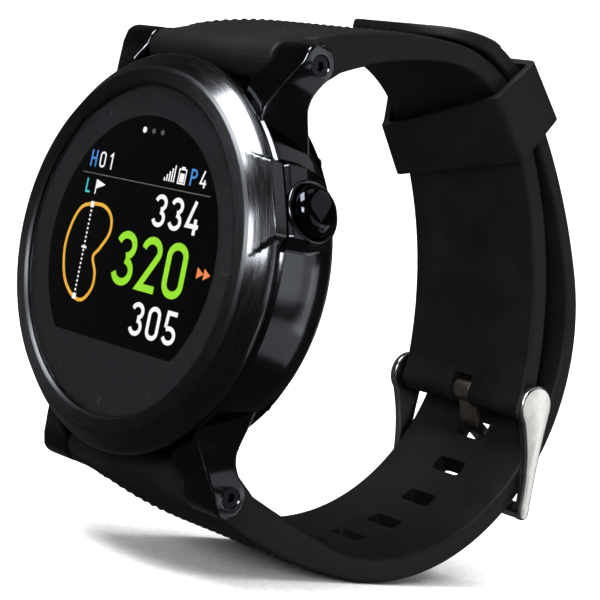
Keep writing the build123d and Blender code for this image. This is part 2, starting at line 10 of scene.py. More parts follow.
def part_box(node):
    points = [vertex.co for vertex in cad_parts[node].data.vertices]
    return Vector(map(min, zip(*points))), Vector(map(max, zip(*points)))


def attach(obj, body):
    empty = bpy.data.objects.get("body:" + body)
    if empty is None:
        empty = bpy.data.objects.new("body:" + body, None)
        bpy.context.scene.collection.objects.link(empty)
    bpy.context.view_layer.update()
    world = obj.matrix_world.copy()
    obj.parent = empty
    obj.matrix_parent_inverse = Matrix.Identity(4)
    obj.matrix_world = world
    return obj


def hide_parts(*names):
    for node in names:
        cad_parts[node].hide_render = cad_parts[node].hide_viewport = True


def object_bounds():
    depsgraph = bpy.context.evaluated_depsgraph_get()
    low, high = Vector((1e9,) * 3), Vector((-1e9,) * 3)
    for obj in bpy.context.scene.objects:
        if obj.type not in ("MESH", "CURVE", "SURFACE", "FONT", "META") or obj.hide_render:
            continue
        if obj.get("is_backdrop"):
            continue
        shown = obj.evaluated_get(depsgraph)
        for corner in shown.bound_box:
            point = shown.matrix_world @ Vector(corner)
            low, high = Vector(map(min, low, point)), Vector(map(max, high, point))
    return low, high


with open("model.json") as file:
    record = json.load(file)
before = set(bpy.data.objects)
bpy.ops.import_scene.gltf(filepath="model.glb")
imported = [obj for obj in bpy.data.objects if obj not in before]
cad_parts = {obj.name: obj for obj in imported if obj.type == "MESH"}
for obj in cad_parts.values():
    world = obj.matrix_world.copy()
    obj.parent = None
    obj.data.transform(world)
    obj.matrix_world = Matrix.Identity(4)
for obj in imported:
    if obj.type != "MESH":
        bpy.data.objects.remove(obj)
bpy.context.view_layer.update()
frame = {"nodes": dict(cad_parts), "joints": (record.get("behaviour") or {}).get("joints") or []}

bl_info = {
    "name": "Golf GPS Watch",
    "version": (1, 0, 0),
    "blender": (4, 5, 0),
    "location": "3D View > Sidebar > Watch",
    "description": "Builds the finished surfaces of a golf GPS watch round its packed frame",
    "category": "Add Mesh",
}

# Shapes are drawn in millimetres with the watch lying dial up: x to three o'clock, y to twelve and z out
# of the dial, from the case back's outer face. stand() puts such a point upright in the frame, in metres.
MM = 0.001
MICRON = 0.001  # of a millimetre


def stand(point):
    """A dial-up point in millimetres, as it stands in the frame, in metres."""
    x, y, z = point
    return Vector((x, -z, y)) * MM


def extent(node):
    """Lowest and highest corner of a frame node, dial up, in millimetres."""
    low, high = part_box(node)
    return Vector((low.x, low.z, -high.y)) / MM, Vector((high.x, high.z, -low.y)) / MM


def joint_axis(name):
    """Where a joint's axis crosses the watch's middle plane: (y, z), dial up, in millimetres."""
    place = next(joint["pos_m"] for joint in frame["joints"] if joint["name"] == name)
    return Vector((place[2], -place[1])) / MM


def linear(code):
    """An sRGB hex colour as the linear values that shaders take."""
    channels = [int(code[i:i + 2], 16) / 255 for i in (1, 3, 5)]
    return tuple(c / 12.92 if c <= 0.04045 else ((c + 0.055) / 1.055) ** 2.4 for c in channels)


def opaque(code):
    """The same colour with full cover, as colour sockets take it."""
    return linear(code) + (1.0,)


def length(name, description, default):
    """A size property, its default in millimetres."""
    return FloatProperty(name=name, description=description, default=default * MM, unit="LENGTH",
                         precision=5)


def degrees(name, description, default):
    """An angle property, its default in degrees."""
    return FloatProperty(name=name, description=description, default=math.radians(default),
                         unit="ROTATION")


def colour(name, description, code):
    """A colour property, its default as sRGB hex."""
    return FloatVectorProperty(name=name, description=description, default=linear(code),
                               subtype="COLOR", min=0, max=1)


class WatchCaseSizes(bpy.types.PropertyGroup):
    """Sizes of the case, bezel, glass and button."""

    case_radius: length("Case radius", "Widest radius of the middle case", -extent("main_case")[0].x)
    case_top: length("Case top", "Height of the case's upper edge over the case back", 9.9)
    bezel_radius: length("Bezel radius", "Widest radius of the bezel", -extent("bezel_ring")[0].x)
    bezel_low: length("Bezel foot", "Height of the bezel's lower edge", extent("bezel_ring")[0].z)
    bezel_top: length("Bezel top", "Height of the bezel's rim", extent("bezel_ring")[1].z)
    rim_radius: length("Rim radius", "Outer radius of the bezel's flat rim", 20.95)
    glass_radius: length("Glass radius", "Radius of the cover glass", extent("cover_glass")[1].x)
    glass_top: length("Glass top", "Height of the cover glass's face", extent("cover_glass")[1].z)
    print_depth: length("Print depth", "How far under the glass's face the print and image lie", 0.9)
    picture_radius: length("Picture radius", "Radius of the lit part of the display", 15.6)
    picture_chord: length("Picture foot", "Distance of the picture's flat lower edge from the centre", 10.83)
    button_angle: degrees("Button angle", "Turn of the button above three o'clock", 21)
    guard_face: length("Guard face", "Distance of the guard's flat face from the centre", 23.6)
    guard_half: length("Guard half width", "Half the width of the guard's flat face", 4.1)
    lug_inner: length("Lug inside", "Distance of a lug's inner face from the middle", 11.6)
    lug_outer: length("Lug outside", "Distance of a lug's outer face from the middle", 17.1)


class WatchStrapSizes(bpy.types.PropertyGroup):
    """Sizes of the strap, its keeper and its buckle."""

    width: length("Strap width", "Width of the strap where it buckles", 22)
    shoulder: length("Shoulder width", "Width of the strap just behind the lugs", 24.2)
    thickness: length("Strap thickness", "Thickness of the short strap at its bend", 2.6)
    tail: length("Tail thickness", "Thickness of the long strap's tail", 2.0)
    edge: length("Edge radius", "Rounding of the strap's long edges", 0.45)
    rib_pitch: length("Rib pitch", "Distance between the moulded ribs", 1.0)
    rib_height: length("Rib height", "Height of the moulded ribs", 0.2)
    slot_length: length("Slot length", "Size of a buckle slot across the strap", 5)
    slot_width: length("Slot width", "Size of a buckle slot along the strap", 2.3)
    slot_stretch: length("Slot stretch", "How much the tang widens the slot it sits in", 0.9)
    slots: IntProperty(name="Slots", description="Number of buckle slots", default=9, min=1, max=12)
    slot_pitch: degrees("Slot pitch", "Turn from one slot to the next round the loop", 13.7)
    keeper_length: length("Keeper length", "Size of the keeper along the strap", 8.8)
    keeper_skew: length("Keeper skew", "How far the keeper's free inner corner leans along the strap", 5.8)
    plate: length("Buckle plate", "Thickness of the buckle's side plates", 1.15)


class WatchColours(bpy.types.PropertyGroup):
    """Colours of the finishes."""

    steel: colour("Black steel", "Polished steel with a black vapour coating", "#45474B")
    bezel: colour("Bezel steel", "Brushed steel with a black vapour coating", "#595B5F")
    rim: colour("Bezel rim", "Satin flat of the bezel", "#5A5C60")
    silicone: colour("Silicone", "Strap and keeper", "#0B0B0C")
    dust: colour("Silicone bloom", "Dust and bloom on the silicone", "#101011")
    print: colour("Print", "Screen print round the display", "#1D1F22")
    buckle: colour("Buckle steel", "Polished stainless steel", "#C9C9C6")
    tang: colour("Tang steel", "Drawn stainless wire", "#B4A99E")
    white: colour("White marks", "Numbers on the display", "#FFFFFF")
    lime: colour("Lime marks", "Middle distance on the display", "#96E60F")
    blue: colour("Blue marks", "Letters on the display", "#3F8FE0")
    cyan: colour("Cyan marks", "Letter beside the flag", "#30CDD6")
    amber: colour("Amber marks", "Outline of the green", "#F5B52A")
    orange: colour("Orange marks", "Arrows on the display", "#F58A4B")
    grey: colour("Grey marks", "Lines and resting dots on the display", "#6E7173")


def case_size(name):
    """A size of the case, in millimetres."""
    return getattr(bpy.context.scene.watch_case, name) / MM


def strap_size(name):
    """A size of the strap, in millimetres."""
    return getattr(bpy.context.scene.watch_strap, name) / MM


def tint(name):
    """A finish's colour, with full cover."""
    return tuple(getattr(bpy.context.scene.watch_colours, name)) + (1.0,)


# ---- plane curves: functions from 0..1 to a (y, z) point ----
def heading_normal(heading):
    """Unit (y, z) direction at a heading in degrees: 0 is straight down, 90 is towards twelve o'clock."""
    turn = math.radians(heading)
    return Vector((math.sin(turn), -math.cos(turn)))


def arc(centre, radius, start, end):
    """A round stretch between two headings."""
    return lambda t: centre + heading_normal(start + (end - start) * t) * radius


def line(start, end):
    """A straight stretch."""
    a, b = Vector(start), Vector(end)
    return lambda t: a.lerp(b, t)


def arc_by(start, middle, end):
    """A circular arc through three points."""
    a, b, c = Vector(start), Vector(middle), Vector(end)
    twice = 2 * ((b - a).cross(c - a))
    ab, ac = b - a, c - a
    foot = Vector((ac.y * ab.length_squared - ab.y * ac.length_squared,
                   ab.x * ac.length_squared - ac.x * ab.length_squared)) / twice
    centre, radius = a + foot, foot.length
    first = math.atan2(a.y - centre.y, a.x - centre.x)
    via = (math.atan2(b.y - centre.y, b.x - centre.x) - first) % math.tau
    last = (math.atan2(c.y - centre.y, c.x - centre.x) - first) % math.tau
    if via > last:
        last -= math.tau

    def at(t):
        turn = first + last * t
        return centre + Vector((math.cos(turn), math.sin(turn))) * radius
    return at


def part(curve, start, end):
    """The stretch of a curve between two of its shares."""
    return lambda t: curve(start + (end - start) * t)


def bridge(centre_a, radius_a, centre_b, radius_b, radius):
    """Centre and two headings of an arc that joins two circles which it holds inside itself."""
    apart = centre_b - centre_a
    reach_a, reach_b = radius - radius_a, radius - radius_b
    along = (reach_a**2 - reach_b**2 + apart.length_squared) / (2 * apart.length)
    across = math.sqrt(reach_a**2 - along**2)
    unit = apart.normalized()
    centre = centre_a + unit * along + Vector((-unit.y, unit.x)) * across
    ends = [end - centre for end in (centre_a, centre_b)]
    return centre, *[math.degrees(math.atan2(end.x, -end.y)) for end in ends]


def rounded(corners, steps=6):
    """A closed outline through (x, y, cut) corners, each rounded from that far before it to as far after."""
    outline = []
    for i, (x, y, cut) in enumerate(corners):
        here = Vector((x, y))
        if not cut:
            outline.append(here)
            continue
        before = here + (Vector(corners[i - 1][:2]) - here).normalized() * cut
        after = here + (Vector(corners[(i + 1) % len(corners)][:2]) - here).normalized() * cut
        for k in range(steps + 1):
            t = k / steps
            outline.append(before * (1 - t)**2 + here * 2 * t * (1 - t) + after * t * t)
    return outline


def inset(outline, distance):
    """A closed outline moved inwards by a distance that is small beside it."""
    area = sum(a.cross(b) for a, b in zip(outline, outline[1:] + outline[:1]))
    side = math.copysign(distance, area)
    moved = []
    for i, here in enumerate(outline):
        run = outline[(i + 1) % len(outline)] - outline[i - 1]
        moved.append(here + Vector((-run.y, run.x)).normalized() * side)
    return moved


# ---- meshes ----
def loft(rings, closed=False):
    """Points and faces of a skin over rings of equal count, capped unless it closes on itself."""
    count = len(rings[0])
    faces = []
    for i in range(len(rings) if closed else len(rings) - 1):
        low, high = i * count, (i + 1) % len(rings) * count
        for k in range(count):
            after = (k + 1) % count
            faces.append((low + k, low + after, high + after, high + k))
    if not closed:
        faces.append(tuple(range(count)))
        faces.append(tuple(range((len(rings) - 1) * count, len(rings) * count)))
    return [point for ring in rings for point in ring], faces


def joined(skins):
    """Several skins as one."""
    points, faces = [], []
    for skin_points, skin_faces in skins:
        start = len(points)
        points += skin_points
        faces += [tuple(start + k for k in face) for face in skin_faces]
    return points, faces


def turned(profile, radius_at=None, angles=None):
    """A closed (radius, z) profile turned round the dial's axis; radius_at may reshape it by angle."""
    angles = angles or [i * 1.5 for i in range(240)]
    rings = []
    for angle in angles:
        turn = math.radians(angle)
        ring = []
        for r, z in profile:
            reach = radius_at(r, z, angle) if radius_at else r
            ring.append((reach * math.cos(turn), reach * math.sin(turn), z))
        rings.append(ring)
    return loft(rings, closed=True)


def moved(skin, place):
    """A skin with place() applied to each of its points."""
    points, faces = skin
    return [place(*point) for point in points], faces


def bare_mesh(name, skin):
    """A skin as a mesh, upright in the frame, welded and with its faces outwards."""
    points, faces = skin
    mesh = bpy.data.meshes.new(name)
    mesh.from_pydata([stand(point) for point in points], [], faces)
    shape = bmesh.new()
    shape.from_mesh(mesh)
    bmesh.ops.remove_doubles(shape, verts=shape.verts, dist=MICRON * MM)
    bmesh.ops.recalc_face_normals(shape, faces=shape.faces)
    shape.to_mesh(mesh)
    shape.free()
    return mesh


def cut(mesh, cutters):
    """The mesh with the cutters' skins taken away from it."""
    target = bpy.data.objects.new("cut_target", mesh)
    tool = bpy.data.objects.new("cut_tool", bare_mesh("cut_tool", joined(cutters)))
    for item in (target, tool):
        bpy.context.scene.collection.objects.link(item)
    knife = target.modifiers.new("knife", "BOOLEAN")
    knife.operation = "DIFFERENCE"
    knife.solver = "EXACT"
    knife.use_self = True
    knife.object = tool
    view = bpy.context.evaluated_depsgraph_get()
    result = bpy.data.meshes.new_from_object(target.evaluated_get(view))
    for item in (target, tool):
        bpy.data.objects.remove(item)
    return result


def bevelled(mesh, width, angle=40, segments=2):
    """The mesh with its sharp edges softened."""
    target = bpy.data.objects.new("bevel_target", mesh)
    bpy.context.scene.collection.objects.link(target)
    soft = target.modifiers.new("soft", "BEVEL")
    soft.width = width * MM
    soft.segments = segments
    soft.limit_method = "ANGLE"
    soft.angle_limit = math.radians(angle)
    view = bpy.context.evaluated_depsgraph_get()
    result = bpy.data.meshes.new_from_object(target.evaluated_get(view))
    bpy.data.objects.remove(target)
    return result


def piece(name, mesh, material, body, replaces=(), sharp=35):
    """Puts a finished mesh in the scene as one piece that rides on a body."""
    if not isinstance(mesh, bpy.types.Mesh):
        mesh = bare_mesh(name, mesh)
    mesh.name = name
    thing = bpy.data.objects.new(name, mesh)
    bpy.context.scene.collection.objects.link(thing)
    mesh.materials.clear()
    mesh.materials.append(material)
    mesh.shade_smooth()
    mesh.set_sharp_from_angle(angle=math.radians(sharp))
    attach(thing, body)
    if replaces:
        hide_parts(*replaces)
    return thing


# ---- materials ----
def add(tree, kind, settings=None, links=None):
    """Adds a node, sets its properties and inputs, and links its inputs to other nodes' outputs."""
    node = tree.nodes.new(kind)
    for key, value in (settings or {}).items():
        if isinstance(key, int) or key in node.inputs:
            node.inputs[key].default_value = value
        else:
            setattr(node, key, value)
    for key, source in (links or {}).items():
        tree.links.new(source, node.inputs[key])
    return node


def start(name, **settings):
    """A new material with one Principled shader."""
    material = bpy.data.materials.new(name)
    material.use_nodes = True
    tree = material.node_tree
    tree.nodes.clear()
    named = {key.replace("_", " "): value for key, value in settings.items()}
    shader = add(tree, "ShaderNodeBsdfPrincipled", named)
    add(tree, "ShaderNodeOutputMaterial", links={"Surface": shader.outputs["BSDF"]})
    return material, tree, shader


def per_mm(size):
    """The texture scale, in features to the metre, that gives features of this size."""
    return 1 / (size * MM)


def noise(tree, place, size, detail, fade=0.5):
    """Noise with features of one real size, in millimetres."""
    settings = {"Scale": per_mm(size), "Detail": detail, "Roughness": fade}
    return add(tree, "ShaderNodeTexNoise", settings, {"Vector": place}).outputs["Fac"]


def spread(tree, value, stops, low, high):
    """A value that runs from low to high between two stops of another."""
    settings = {"From Min": stops[0], "From Max": stops[1], "To Min": low, "To Max": high}
    return add(tree, "ShaderNodeMapRange", settings, {"Value": value}).outputs["Result"]


def blended(tree, value, stops, tones):
    """A colour that runs between two tones over two stops of a value."""
    ramp = add(tree, "ShaderNodeValToRGB", links={"Fac": value})
    for stop, where, tone in zip(ramp.color_ramp.elements, stops, tones):
        stop.position = where
        stop.color = tone
    return ramp.outputs["Color"]


def relief(tree, value, strength, depth):
    """A surface raised by a value, to a depth in millimetres."""
    settings = {"Strength": strength, "Distance": depth * MM}
    return add(tree, "ShaderNodeBump", settings, {"Height": value}).outputs["Normal"]


def vary(tree, shader, place, grain, low, high, bump=0.0, tones=None, detail=4.0):
    """Noise of one real grain size that varies a shader's roughness, its height and, if given, its tone."""
    fine = noise(tree, place, grain, detail, 0.6)
    tree.links.new(spread(tree, fine, (0.3, 0.7), low, high), shader.inputs["Roughness"])
    if tones:
        tree.links.new(blended(tree, fine, (0.35, 0.65), tones), shader.inputs["Base Color"])
    if bump:
        tree.links.new(relief(tree, fine, 0.6, bump), shader.inputs["Normal"])


def darker(tone, share):
    """A colour dimmed to a share of its brightness."""
    return tuple(c * share for c in tone[:3]) + (1.0,)


def object_place(tree):
    """The place on the piece itself, in metres."""
    return add(tree, "ShaderNodeTexCoord").outputs["Object"]


def plain(name, tone, rough, grain, bump=0.0, metallic=0.0, ior=1.5, **settings):
    """A material whose grain of one real size varies its tone, roughness and height."""
    material, tree, shader = start(name, Metallic=metallic, IOR=ior, **settings)
    vary(tree, shader, object_place(tree), grain, rough * 0.85, rough * 1.15, bump,
         (darker(tone, 0.85), tone))
    return material


def black_steel():
    """316L stainless steel, polished and vapour coated black: mirror clear, with faint polishing swirls."""
    material, tree, shader = start("polished_black_coated_steel", Metallic=1.0)
    tone = tint("steel")
    place = object_place(tree)
    vary(tree, shader, place, 6.0, 0.10, 0.17, 0.0, (darker(tone, 0.86), tone))
    # Polishing waves a few millimetres long and under a micron high bend the reflections slightly.
    waves = noise(tree, place, 3.5, 2.0)
    tree.links.new(relief(tree, waves, 0.25, 0.02), shader.inputs["Normal"])
    return material


LINE_PITCH = 0.09       # brushed lines, mm apart; the real ones are 0.02 apart, too fine to show
STROKE_LENGTH = 4.0     # of one brush stroke, mm
STROKE_RADIUS = 22      # of the middle of the brushed ring, mm


def brushed_steel(name, tone, low, high, strength):
    """The same coated steel brushed round the dial's axis: highlights spread into fans with frayed ends."""
    material, tree, shader = start(name, Metallic=1.0, Anisotropic=0.6, Anisotropic_Rotation=0.25)
    place = add(tree, "ShaderNodeSeparateXYZ", links={"Vector": object_place(tree)})
    across, up = place.outputs["X"], place.outputs["Z"]
    turn = add(tree, "ShaderNodeMath", {"operation": "ARCTAN2"}, {0: up, 1: across})
    squares = [add(tree, "ShaderNodeMath", {"operation": "MULTIPLY"}, {0: side, 1: side}).outputs[0]
               for side in (across, up)]
    total = add(tree, "ShaderNodeMath", {"operation": "ADD"}, {0: squares[0], 1: squares[1]})
    reach = add(tree, "ShaderNodeMath", {"operation": "SQRT"}, {0: total.outputs[0]})
    # The angle is scaled so that a brush stroke has its real length at the bezel's radius.
    stretch = STROKE_RADIUS * LINE_PITCH / STROKE_LENGTH * MM
    run = add(tree, "ShaderNodeMath", {"operation": "MULTIPLY", 1: stretch},
              {0: turn.outputs[0]})
    lines = add(tree, "ShaderNodeCombineXYZ",
                links={"X": reach.outputs[0], "Y": place.outputs["Y"], "Z": run.outputs[0]})
    strokes = noise(tree, lines.outputs["Vector"], LINE_PITCH, 3.0, 0.65)
    tangent = add(tree, "ShaderNodeTangent", {"direction_type": "RADIAL", "axis": "Y"})
    for output, socket in ((spread(tree, strokes, (0.3, 0.7), low, high), "Roughness"),
                           (blended(tree, strokes, (0.35, 0.65), (darker(tone, 0.7), tone)), "Base Color"),
                           (relief(tree, strokes, strength, 0.01), "Normal"),
                           (tangent.outputs["Tangent"], "Tangent")):
        tree.links.new(output, shader.inputs[socket])
    return material


def silicone():
    """Liquid silicone rubber moulded in a spark-eroded tool: soft matt black with a fine even grain and a
    little bloom and dust."""
    material, tree, shader = start("moulded_silicone", IOR=1.43, Specular_IOR_Level=0.24)
    place = object_place(tree)
    vary(tree, shader, place, 5.0, 0.50, 0.62, 0.0, (tint("silicone"), tint("dust")), detail=6.0)
    # The real grain is about 0.05 mm; it is drawn at 0.16 mm so that it shows.
    grain = noise(tree, place, 0.16, 2.0)
    tree.links.new(relief(tree, grain, 0.35, 0.03), shader.inputs["Normal"])
    return material


def clear_glass():
    """Toughened aluminosilicate glass, ground and polished: clear, with a faint grey edge."""
    material, tree, shader = start("toughened_glass", Roughness=0.0, IOR=1.5)
    shader.inputs["Base Color"].default_value = (0.96, 0.97, 0.97, 1.0)
    shader.inputs["Transmission Weight"].default_value = 1.0
    smear = noise(tree, object_place(tree), 9, 3.0)
    tree.links.new(spread(tree, smear, (0.4, 0.75), 0.0, 0.006), shader.inputs["Roughness"])
    return material


def lit(name, tone, strength):
    """A liquid crystal cell's lit area: even light through a fine pixel grid."""
    material, tree, shader = start(name, Roughness=0.4, IOR=1.5)
    shader.inputs["Base Color"].default_value = darker(tone, 0.1)
    shader.inputs["Emission Color"].default_value = tone
    shader.inputs["Emission Strength"].default_value = strength
    # Pixels are 0.127 mm apart; the grid only trims the light between them a little.
    cells = add(tree, "ShaderNodeTexVoronoi", {"distance": "CHEBYCHEV", "Scale": per_mm(0.127),
                                               "Randomness": 0.0}, {"Vector": object_place(tree)})
    light = blended(tree, cells.outputs["Distance"], (0.42, 0.5), (tone, darker(tone, 0.8)))
    tree.links.new(light, shader.inputs["Emission Color"])
    return material


def frame_finishes():
    """Each frame node that stays in view, with its finish."""
    gasket = plain("moulded_nitrile", opaque("#17181A"), 0.6, 0.4, 0.01)
    moulding = plain("moulded_polycarbonate", opaque("#26282B"), 0.45, 0.3, 0.01, ior=1.58)
    screw = plain("black_oxide_steel", opaque("#25262A"), 0.3, 0.2, 0.004, metallic=1.0)
    finishes = {
        # Chloroprene-like nitrile rubber seals, moulded: dull black.
        gasket: ("bezel_gasket", "glass_gasket", "back_gasket", "button_seal"),
        # Glass-filled polycarbonate, moulded with a fine spark grain: dark grey satin.
        moulding: ("display_frame", "battery_tray"),
        # Screws blackened in hot oxide salts: dark, with a soft sheen.
        screw: ("lug_screws_12", "lug_screws_6", "back_screws"),
        # Indium-tin coated film under the glass: smooth and almost black.
        plain("laminated_touch_film", opaque("#0C0D10"), 0.12, 2.0, ior=1.52): ("touch_panel",),
        # Liquid crystal cell with a black rear tape: smooth dark glass.
        plain("display_cell", opaque("#08090B"), 0.15, 2.0, ior=1.52): ("display_panel",),
        # Polyimide film over etched copper: amber, slightly wavy.
        plain("polyimide_flex", opaque("#A8641E"), 0.35, 0.8, 0.01, ior=1.7): ("display_flex",),
        # FR-4 laminate under matt black solder mask: the glass weave just shows.
        plain("masked_glass_epoxy", opaque("#14211A"), 0.4, 0.5, 0.01): ("main_board",),
        # Tin-plated drawn steel: bright, with faint drawing marks.
        plain("tinned_steel", opaque("#B9BCBF"), 0.28, 0.6, 0.004, metallic=1.0): ("shield_can",),
        # Pressed and fired barium titanate with a silver patch: chalky beige.
        plain("fired_ceramic", opaque("#C8BFA6"), 0.55, 0.25, 0.01, ior=1.9): ("gps_antenna",),
        # Aluminium laminate pouch, cold formed: soft silver with shallow dimples.
        plain("pouch_foil", opaque("#A9ACB0"), 0.34, 1.2, 0.05, metallic=1.0): ("battery",),
        # Nickel-plated steel can of the coin motor: fine satin.
        plain("nickel_plate", opaque("#B3AFA6"), 0.25, 0.3, 0.003, metallic=1.0):
            ("vibration_motor", "tact_switch"),
        # Glass-filled nylon back cover, moulded with a fine grain: satin black.
        plain("moulded_glass_nylon", opaque("#1A1B1D"), 0.5, 0.25, 0.02, ior=1.53): ("case_back",),
        # Liquid crystal polymer insulator: smooth dark grey.
        plain("moulded_insulator", opaque("#2B2D30"), 0.4, 0.4, 0.01, ior=1.6): ("contact_block",),
        # Brass pins with hard gold plating: warm and bright.
        plain("gold_plate", opaque("#D9A441"), 0.22, 0.3, 0.002, metallic=1.0): ("contact_pins",),
        # Drawn stainless spring wire and stamped clip: bright with draw lines.
        plain("spring_steel", opaque("#9DA0A3"), 0.25, 0.3, 0.003, metallic=1.0):
            ("button_spring", "button_clip", "strap_bar_12", "strap_bar_6", "buckle_pin"),
    }
    return finishes


# ---- case ----
GUARD_FOOT = 1.3        # how far the guard's sloping sides stand out
GUARD_SLOPE = 1.7       # steepness of those sides
GUARD_LEAN = 2.0        # turn of the guard past the button, degrees
BUTTON_HEIGHT = 6.5     # of the button's axis over the case back, mm


def soft_max(a, b, blend):
    """The greater of two values, rounded over where they cross."""
    share = max(blend - abs(a - b), 0) / blend
    return max(a, b) + share * share * blend / 4


def soft_min(a, b, blend):
    """The lesser of two values, rounded over where they cross."""
    return -soft_max(-a, -b, blend)


def button_turn():
    """Turn of the button's axis from three o'clock, in radians."""
    return bpy.context.scene.watch_case.button_angle


def guard_reach(angle, face):
    """Distance from the dial's axis, at this angle, of the flat-faced guard beside the button."""
    turn = math.radians((angle - math.degrees(button_turn()) - GUARD_LEAN + 180) % 360 - 180)
    if abs(turn) > math.radians(60):
        return 0.0
    half = case_size("guard_half")
    flat = face / math.cos(turn)
    lean = Vector((GUARD_FOOT, GUARD_FOOT * GUARD_SLOPE)).normalized()
    slope = lean.dot(Vector((face, half))) / (lean.x * math.cos(turn) + lean.y * abs(math.sin(turn)))
    return soft_min(flat, slope, 0.16)


def round_angles():
    """Angles for a turned piece: close together where the guard swells."""
    middle = math.degrees(button_turn()) + GUARD_LEAN
    fine = [middle - 20 + i * 0.25 for i in range(161)]
    coarse = [middle + 20 + (i + 1) * 1.6 for i in range(199)]
    return fine + [angle for angle in coarse if angle < middle + 340 - 0.8]


def radial(x, y, z):
    """A point drawn with +z along the button's axis, out from the dial's axis, set in its place."""
    turn = button_turn()
    return (z * math.cos(turn) - x * math.sin(turn), z * math.sin(turn) + x * math.cos(turn),
            BUTTON_HEIGHT + y)


def rod(radius, start_at, end_at, sides=64):
    """A plain round rod along z."""
    return turned([(0, start_at), (radius, start_at), (radius, end_at), (0, end_at)],
                  angles=[360 / sides * i for i in range(sides)])


def across(skin):
    """Turns a skin drawn along z so that it lies along x."""
    return moved(skin, lambda x, y, z: (z, x, y))


def shifted(skin, dx, dy, dz):
    """A skin moved without turning."""
    return moved(skin, lambda x, y, z: (x + dx, y + dy, z + dz))


class WATCH_OT_case(bpy.types.Operator):
    """Turned middle case with its button guard and well"""

    bl_idname = "watch.case"
    bl_label = "Middle case"

    def execute(self, context):
        wide, top = case_size("case_radius"), case_size("case_top")
        profile = rounded([(18.6, 1.2, 0), (20.6, 1.2, 0.25), (21.75, 1.9, 0.5), (22.35, 4.0, 1.0),
                           (wide, 6.2, 1.0), (wide, top - 0.45, 0.08), (wide - 0.45, top, 0.08),
                           (17.6, top, 0.1), (17.6, 9.0, 0), (18.6, 9.0, 0)], 4)

        def reach(r, z, angle):
            if r < 20:
                return r
            face = case_size("guard_face") - 0.55 * max(6.6 - z, 0)
            inward = wide - r if z > top - 0.6 else 0.0
            return soft_max(r, guard_reach(angle, face) - inward, 0.3)
        mesh = bare_mesh("case", turned(profile, reach, round_angles()))
        well = moved(rod(3.1, 21.6, 27), radial)
        stem = moved(rod(0.95, 15, 22), radial)
        gap = case_size("lug_inner")
        bars = [shifted(across(rod(2.95, -gap, gap)), 0, side * lug_bar().x, lug_bar().y)
                for side in (1, -1)]
        mesh = cut(mesh, [well, stem] + bars)
        piece("middle_case", bevelled(mesh, 0.12, 50), black_steel(), "case", ("main_case",), 30)
        return {"FINISHED"}


def lug_bar():
    """(y, z) of the strap bar at twelve o'clock."""
    return joint_axis("short_strap_pivot")


# The lug's underside: distance inwards from the strap bar, and height over the case back.
BELLY = ((2.2, 4.6), (1.9, 3.9), (1.2, 3.35), (0.4, 3.06), (-0.4, 3.1), (-1.2, 3.6), (-2.1, 4.45),
         (-3.1, 5.1), (-4.0, 5.5), (-5.0, 5.6), (-6.2, 5.3), (-8.2, 4.6), (-10.3, 4.0))
BARREL = 2.55   # radius of a lug's nose and of a strap's end round its bar, mm


def between(stops, where):
    """Straight interpolation in a falling table of (place, value)."""
    for (p1, v1), (p2, v2) in zip(stops, stops[1:]):
        if where >= p2:
            return v1 + (v2 - v1) * min(max((where - p1) / (p2 - p1), 0), 1)
    return stops[-1][1]


def lug_section(y):
    """Rounded cross-section of the twelve o'clock right lug, y away from the strap bar."""
    bar = lug_bar()
    inner, outer = case_size("lug_inner"), case_size("lug_outer")
    top = case_size("case_top") - 0.02
    nose = BARREL
    end = math.sqrt(max(nose**2 - max(y, 0)**2, 0))
    floor = between(BELLY, y) if y < 2.2 else bar.y - end * 0.3
    lean = min(max((0.2 - y) / 5.7, 0), 1)
    ridge, shelf = outer - 2.9 * lean, inner - 2.2 * lean**2
    heights = [top - 0.33 * max(math.hypot(ridge, bar.x + y) - 23.3, 0),
               min(top, bar.y + nose + 0.9 * max(-y, 0))]
    if y > 0:
        heights = [min(height, bar.y + end) for height in heights]
    ridge_top, shelf_top = (max(height, floor + 0.3) for height in heights)
    corners = [(inner, floor, 0.35), (outer, floor, 0.35), (ridge, ridge_top, 0.5),
               (shelf, shelf_top, 0.5)]
    return [(p.x, bar.x + y, p.y) for p in rounded(corners, 4)]


def plate(outline, start_x, end_x, edge_start, edge_end, steps=3):
    """A (y, z) outline made solid along x, its two rims rounded."""
    rings = []
    span = math.copysign(1, end_x - start_x)
    for where, edge, sign in ((start_x, edge_start, 1), (end_x, edge_end, -1)):
        rows = []
        for k in range(steps + 1):
            turn = math.pi / 2 * k / steps
            shrink, depth = edge * (1 - math.sin(turn)), edge * (1 - math.cos(turn))
            x = where + sign * span * depth
            rows.append([(x, p.x, p.y) for p in (inset(outline, shrink) if shrink > 0.001 else outline)])
        rings += rows if sign == 1 else rows[::-1]
    return loft(rings)


